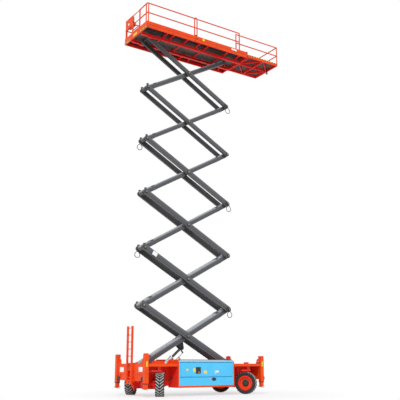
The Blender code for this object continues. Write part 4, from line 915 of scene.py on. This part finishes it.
def dressCylinder():
    # the cylinder's own frame has its foot at the origin and its rod along X
    foot = shift(*at(-1.87, 0, 0.82)) @ turn(-40.614, "Y")
    head = turnedPiece(((1.2305, 0.104), (1.44, 0.104), (1.445, 0.120), (1.50, 0.122), (1.512, 0.112), (1.512, 0.070)),
                       32, "X")
    finishPiece(moved(head, foot), "barrelHead", "steel", "lift_barrel")
    band = turnedRing(((0.0, 0.1105), (0.05, 0.1105), (0.05, 0.119), (0.0, 0.119)), 32)
    finishPiece(moved(band, turn(-90, "Z"), shift(0.34, 0, 0), foot), "barrelBand", "black", "lift_barrel")
    run = ((0.34, 0.0, -0.125), (0.36, 0.0, -0.17), (0.62, 0.02, -0.17), (1.15, 0.02, -0.17), (1.38, 0.0, -0.16),
           (1.40, 0.0, -0.105))
    bentPipe("barrelPipe", [foot @ Vector(place) for place in run], 0.013, "black", "lift_barrel")
    prop = easedBlock((0.95, -0.16, -0.205), (2.10, -0.138, -0.180))
    clamp = easedBlock((2.06, -0.165, -0.210), (2.12, -0.106, -0.03), 0.006)
    finishPiece(moved(prop, foot), "rodGuardBar", "guardRed", "lift_rod")
    finishPiece(moved(clamp, foot), "rodGuardClamp", "black", "lift_rod")


def dressWheelsBay():
    # a steering cylinder with its pipe beside each axle, then valve blocks, a pipe and a damper at the rear one
    size = {"ahead": 0.15, "ramOut": 0.63, "ramZ": 0.66, "pipeOut": 1.02, "damperX": -1.52, "damperZ": 0.74}
    for title, axleX, out in (("Rear", -2.21, 1), ("Front", 3.06, -1)):
        x = axleX + out * size["ahead"]
        for side, hand in bothSides:
            ram = turnedPiece(((0.0, 0.030), (0.02, 0.048), (0.17, 0.048), (0.18, 0.042), (0.185, 0.024),
                               (0.24, 0.022)), 20, "Y")
            moved(ram, shift(*at(x, side * size["ramOut"], size["ramZ"])) @ facing(side))
            finishPiece(ram, f"steerRam{title}{hand}", "black", "chassis")
            run = ((0.0, 0.70, 0.70), (0.0, 0.70, 0.80), (0.04, 0.66, 0.92), (0.10, 0.64, 1.05), (0.16, 0.64, 1.30))
            points = [at(x + out * along, side * y, z) for along, y, z in run]
            bentPipe(f"steerPipe{title}{hand}", points, 0.014, "hose", "chassis")
    for side, hand in bothSides:
        low, high = sideRange(side, 1.20, 1.34)
        for number, (start, end) in enumerate(((0.80, 0.90), (0.93, 1.04)), 1):
            valve = blockAt((-2.899, low, start), (-2.856, high, end), 0.008)
            finishPiece(valve, f"valveBlock{hand}{number}", "black", "chassis")
    run = ((-2.86, 1.42), (-2.86, 1.28), (-2.80, 1.17), (-2.68, 1.15), (-2.10, 1.16), (-1.98, 1.20), (-1.94, 1.42))
    for side, hand in bothSides:
        y = side * size["pipeOut"]
        bentPipe(f"axlePipe{hand}", [at(x, y, z) for x, z in run], 0.016, "pale", "chassis")
        damper = turnedPiece(((0.0, 0.022), (0.012, 0.036), (0.17, 0.036), (0.18, 0.028), (0.185, 0.018),
                              (0.262, 0.017)), 20, "X")
        moved(damper, shift(*at(size["damperX"], y, size["damperZ"])) @ turn(-20, "Y"))
        finishPiece(damper, f"steerDamper{hand}", "black", "chassis")


def dressConsole():
    # the control panel: a pale disc outside, a console inside the rail with its lever and buttons
    size = {"top": 19.774, "buttons": 6}
    disc = turnedPiece(((0.0, 0.070), (0.004, 0.072), (0.010, 0.060), (0.016, 0.040), (0.030, 0.026)), 24, "X")
    moved(disc, turn(180, "Z"), shift(*at(-3.1905, 0.86, 19.72)))
    finishPiece(disc, "panelDisc", "white", "platform")
    console = blockAt((-3.0697, 0.50, 19.56), (-2.93, 1.10, 19.78), 0.012)
    startOnFaces(console, lambda part: part.normal.z > 0.9 and part.area > 0.01)
    bpy.ops.mesh.inset(thickness=0.018, depth=0)
    drawFaces(0, 0, -0.006)
    endEdit()
    finishPiece(console, "console", "orange", "platform")
    for number in range(size["buttons"]):
        y, x = 0.58 + 0.07 * (number % 3), -3.03 + 0.06 * (number // 3)
        button = turnedPiece(((0.0, 0.017), (0.012, 0.017), (0.018, 0.012)), 16)
        finish = ("yellow", "white", "safetyOrange")[number % 3]
        finishPiece(moved(button, shift(*at(x, y, size["top"]))), f"consoleButton{number + 1}", finish, "platform")
    lever = turnedPiece(((0.0, 0.040), (0.020, 0.034), (0.030, 0.014), (0.085, 0.011), (0.090, 0.020), (0.115, 0.024),
                         (0.130, 0.014)), 20)
    finishPiece(moved(lever, shift(*at(-3.0, 0.95, size["top"]))), "consoleLever", "dark", "platform")


def dressPlatform():
    low, skirtTop = 18.6405, 19.0005
    plate = {"rear": -3.2003, "side": 1.2503, "foot": 1.2703, "post": 1.2275, "skin": 1.2515}
    rear, behind, near = plate["rear"], plate["rear"] - 0.0042, -plate["side"]
    cards = (      # name, low and high corner, finish: bands along the rear beam's foot, then labels
        ("rearBandsNear", (behind, -1.24, low + 0.004), (rear, -0.44, low + 0.095), "stripes"),
        ("rearBandsFar", (behind, 0.60, low + 0.004), (rear, 1.24, low + 0.095), "stripes"),
        ("rearLabel", (behind, -0.16, low + 0.075), (rear, 0.27, low + 0.20), "yellow"),
        ("skirtLabelYellow", (0.32, near - 0.0032, low + 0.185), (0.45, near, low + 0.33), "yellow"),
        ("skirtLabelWhite", (2.30, near - 0.0032, low + 0.20), (2.66, near, low + 0.30), "white"),
    )
    for name, start, end, finish in cards:
        cardPiece(name, start, end, finish, "platform", 0.0015)
    for number, (x, z, face) in enumerate(((3.40, 0.325, plate["side"]), (3.41, 0.075, plate["foot"])), 1):
        for side, hand in bothSides:
            inner, outer = sideRange(side, face, face + 0.03)
            start, end = (x - 0.035, inner, low + z - 0.035), (x + 0.03, outer, low + z + 0.035)
            cardPiece(f"skirtStop{hand}{number}", start, end, "black", "platform", 0.008)
    bolt = moved(turnedPiece(((0.0, 0.026), (0.014, 0.026), (0.020, 0.018)), 6, "Y"), turn(180, "Z"))
    moves = [shift(*at(x, near, low + 0.22)) for x in (-0.12, -0.02)]
    moves += [shift(*at(x, -plate["foot"], low + 0.05)) for x in (-3.1, -1.6, -0.2, 1.2, 2.6)]
    moves += [mirror @ shift(0, -2 * stackY, 0) @ move for move in moves]
    finishPiece(faceOutward(joinPieces(copiesAt(bolt, moves))), "skirtBolts", "black", "platform")
    # a dark strip painted as the shadow line under the toe board, on both sides
    for side, hand in bothSides:
        inner, outer = sideRange(side, plate["side"], 1.2535)
        cardPiece(f"toeShadowLine{hand}", (-3.195, inner, low + 0.1503), (3.445, outer, low + 0.182), "skirtShadowLine",
                  "platform", 0.001)
    # collars at the posts' feet with a plate above each, and clips on the doubled posts
    collars = []
    for x in (-3.10, -0.20, -0.04, 2.88):
        for side in (-1, 1):
            for out, wide, thick, foot, top, edge in ((plate["post"], 0.034, 0.021, 0.0005, 0.008, 0.002),
                                                      (plate["skin"], 0.020, 0.0012, 0.06, 0.12, 0.001)):
                y = side * out
                collars.append(blockAt((x - wide, y - thick, skirtTop + foot), (x + wide, y + thick, skirtTop + top),
                                       edge))
    finishPiece(joinPieces(collars), "postCollars", "orange", "platform")
    clips = []
    for side in (-1, 1):
        y = side * plate["post"]
        clips += [blockAt((-0.182, y - 0.027, z), (-0.058, y + 0.027, z + 0.035)) for z in (19.02, 20.075)]
    finishPiece(joinPieces(clips), "postClips", "black", "platform")
    dressConsole()
    # the gate's hinge barrels and its latch
    for number, z in enumerate((19.20, 19.95), 1):
        barrel = turnedPiece(((0.0, 0.021), (0.004, 0.024), (0.066, 0.024), (0.070, 0.021)), 16)
        finishPiece(moved(barrel, shift(*at(-3.17, -0.355, z))), f"gateHinge{number}", "black", "gate")
    cardPiece("gateLatch", (-3.20, 0.30, 19.60), (-3.155, 0.375, 19.66), "black", "gate")


def dressExtension():
    deckZ, post = 18.9815, 1.0375
    # warning strips on the deck's long edges
    for side, hand in bothSides:
        inner, outer = sideRange(side, 1.0605, 1.0645)
        cardPiece(f"slideBands{hand}", (3.47, inner, deckZ - 0.032), (5.84, outer, deckZ + 0.012), "stripes",
                  "extension", 0.0012)
    # the bracket that hangs under the front edge
    arm = blockAt((5.74, -0.18, 18.67), (5.80, -0.12, 18.8295), 0.008)
    foot = blockAt((5.705, -0.205, 18.655), (5.82, -0.095, 18.685), 0.008)
    finishPiece(joinPieces([arm, foot]), "deckStop", "black", "extension")
    # collars at its rail's feet
    low, high, half = deckZ + 0.017, deckZ + 0.026, 0.0223
    collars = [blockAt((x - 0.030, side * post - half, low), (x + 0.022, side * post + half, high), 0.002)
               for x in (2.78, 5.8275) for side in (-1, 1)]
    finishPiece(joinPieces(collars), "slidePostCollars", "orange", "extension")


dressStack()
dressCylinder()
dressWheelsBay()
dressPlatform()
dressExtension()
print("stack, cylinder, platform and extension dressed")
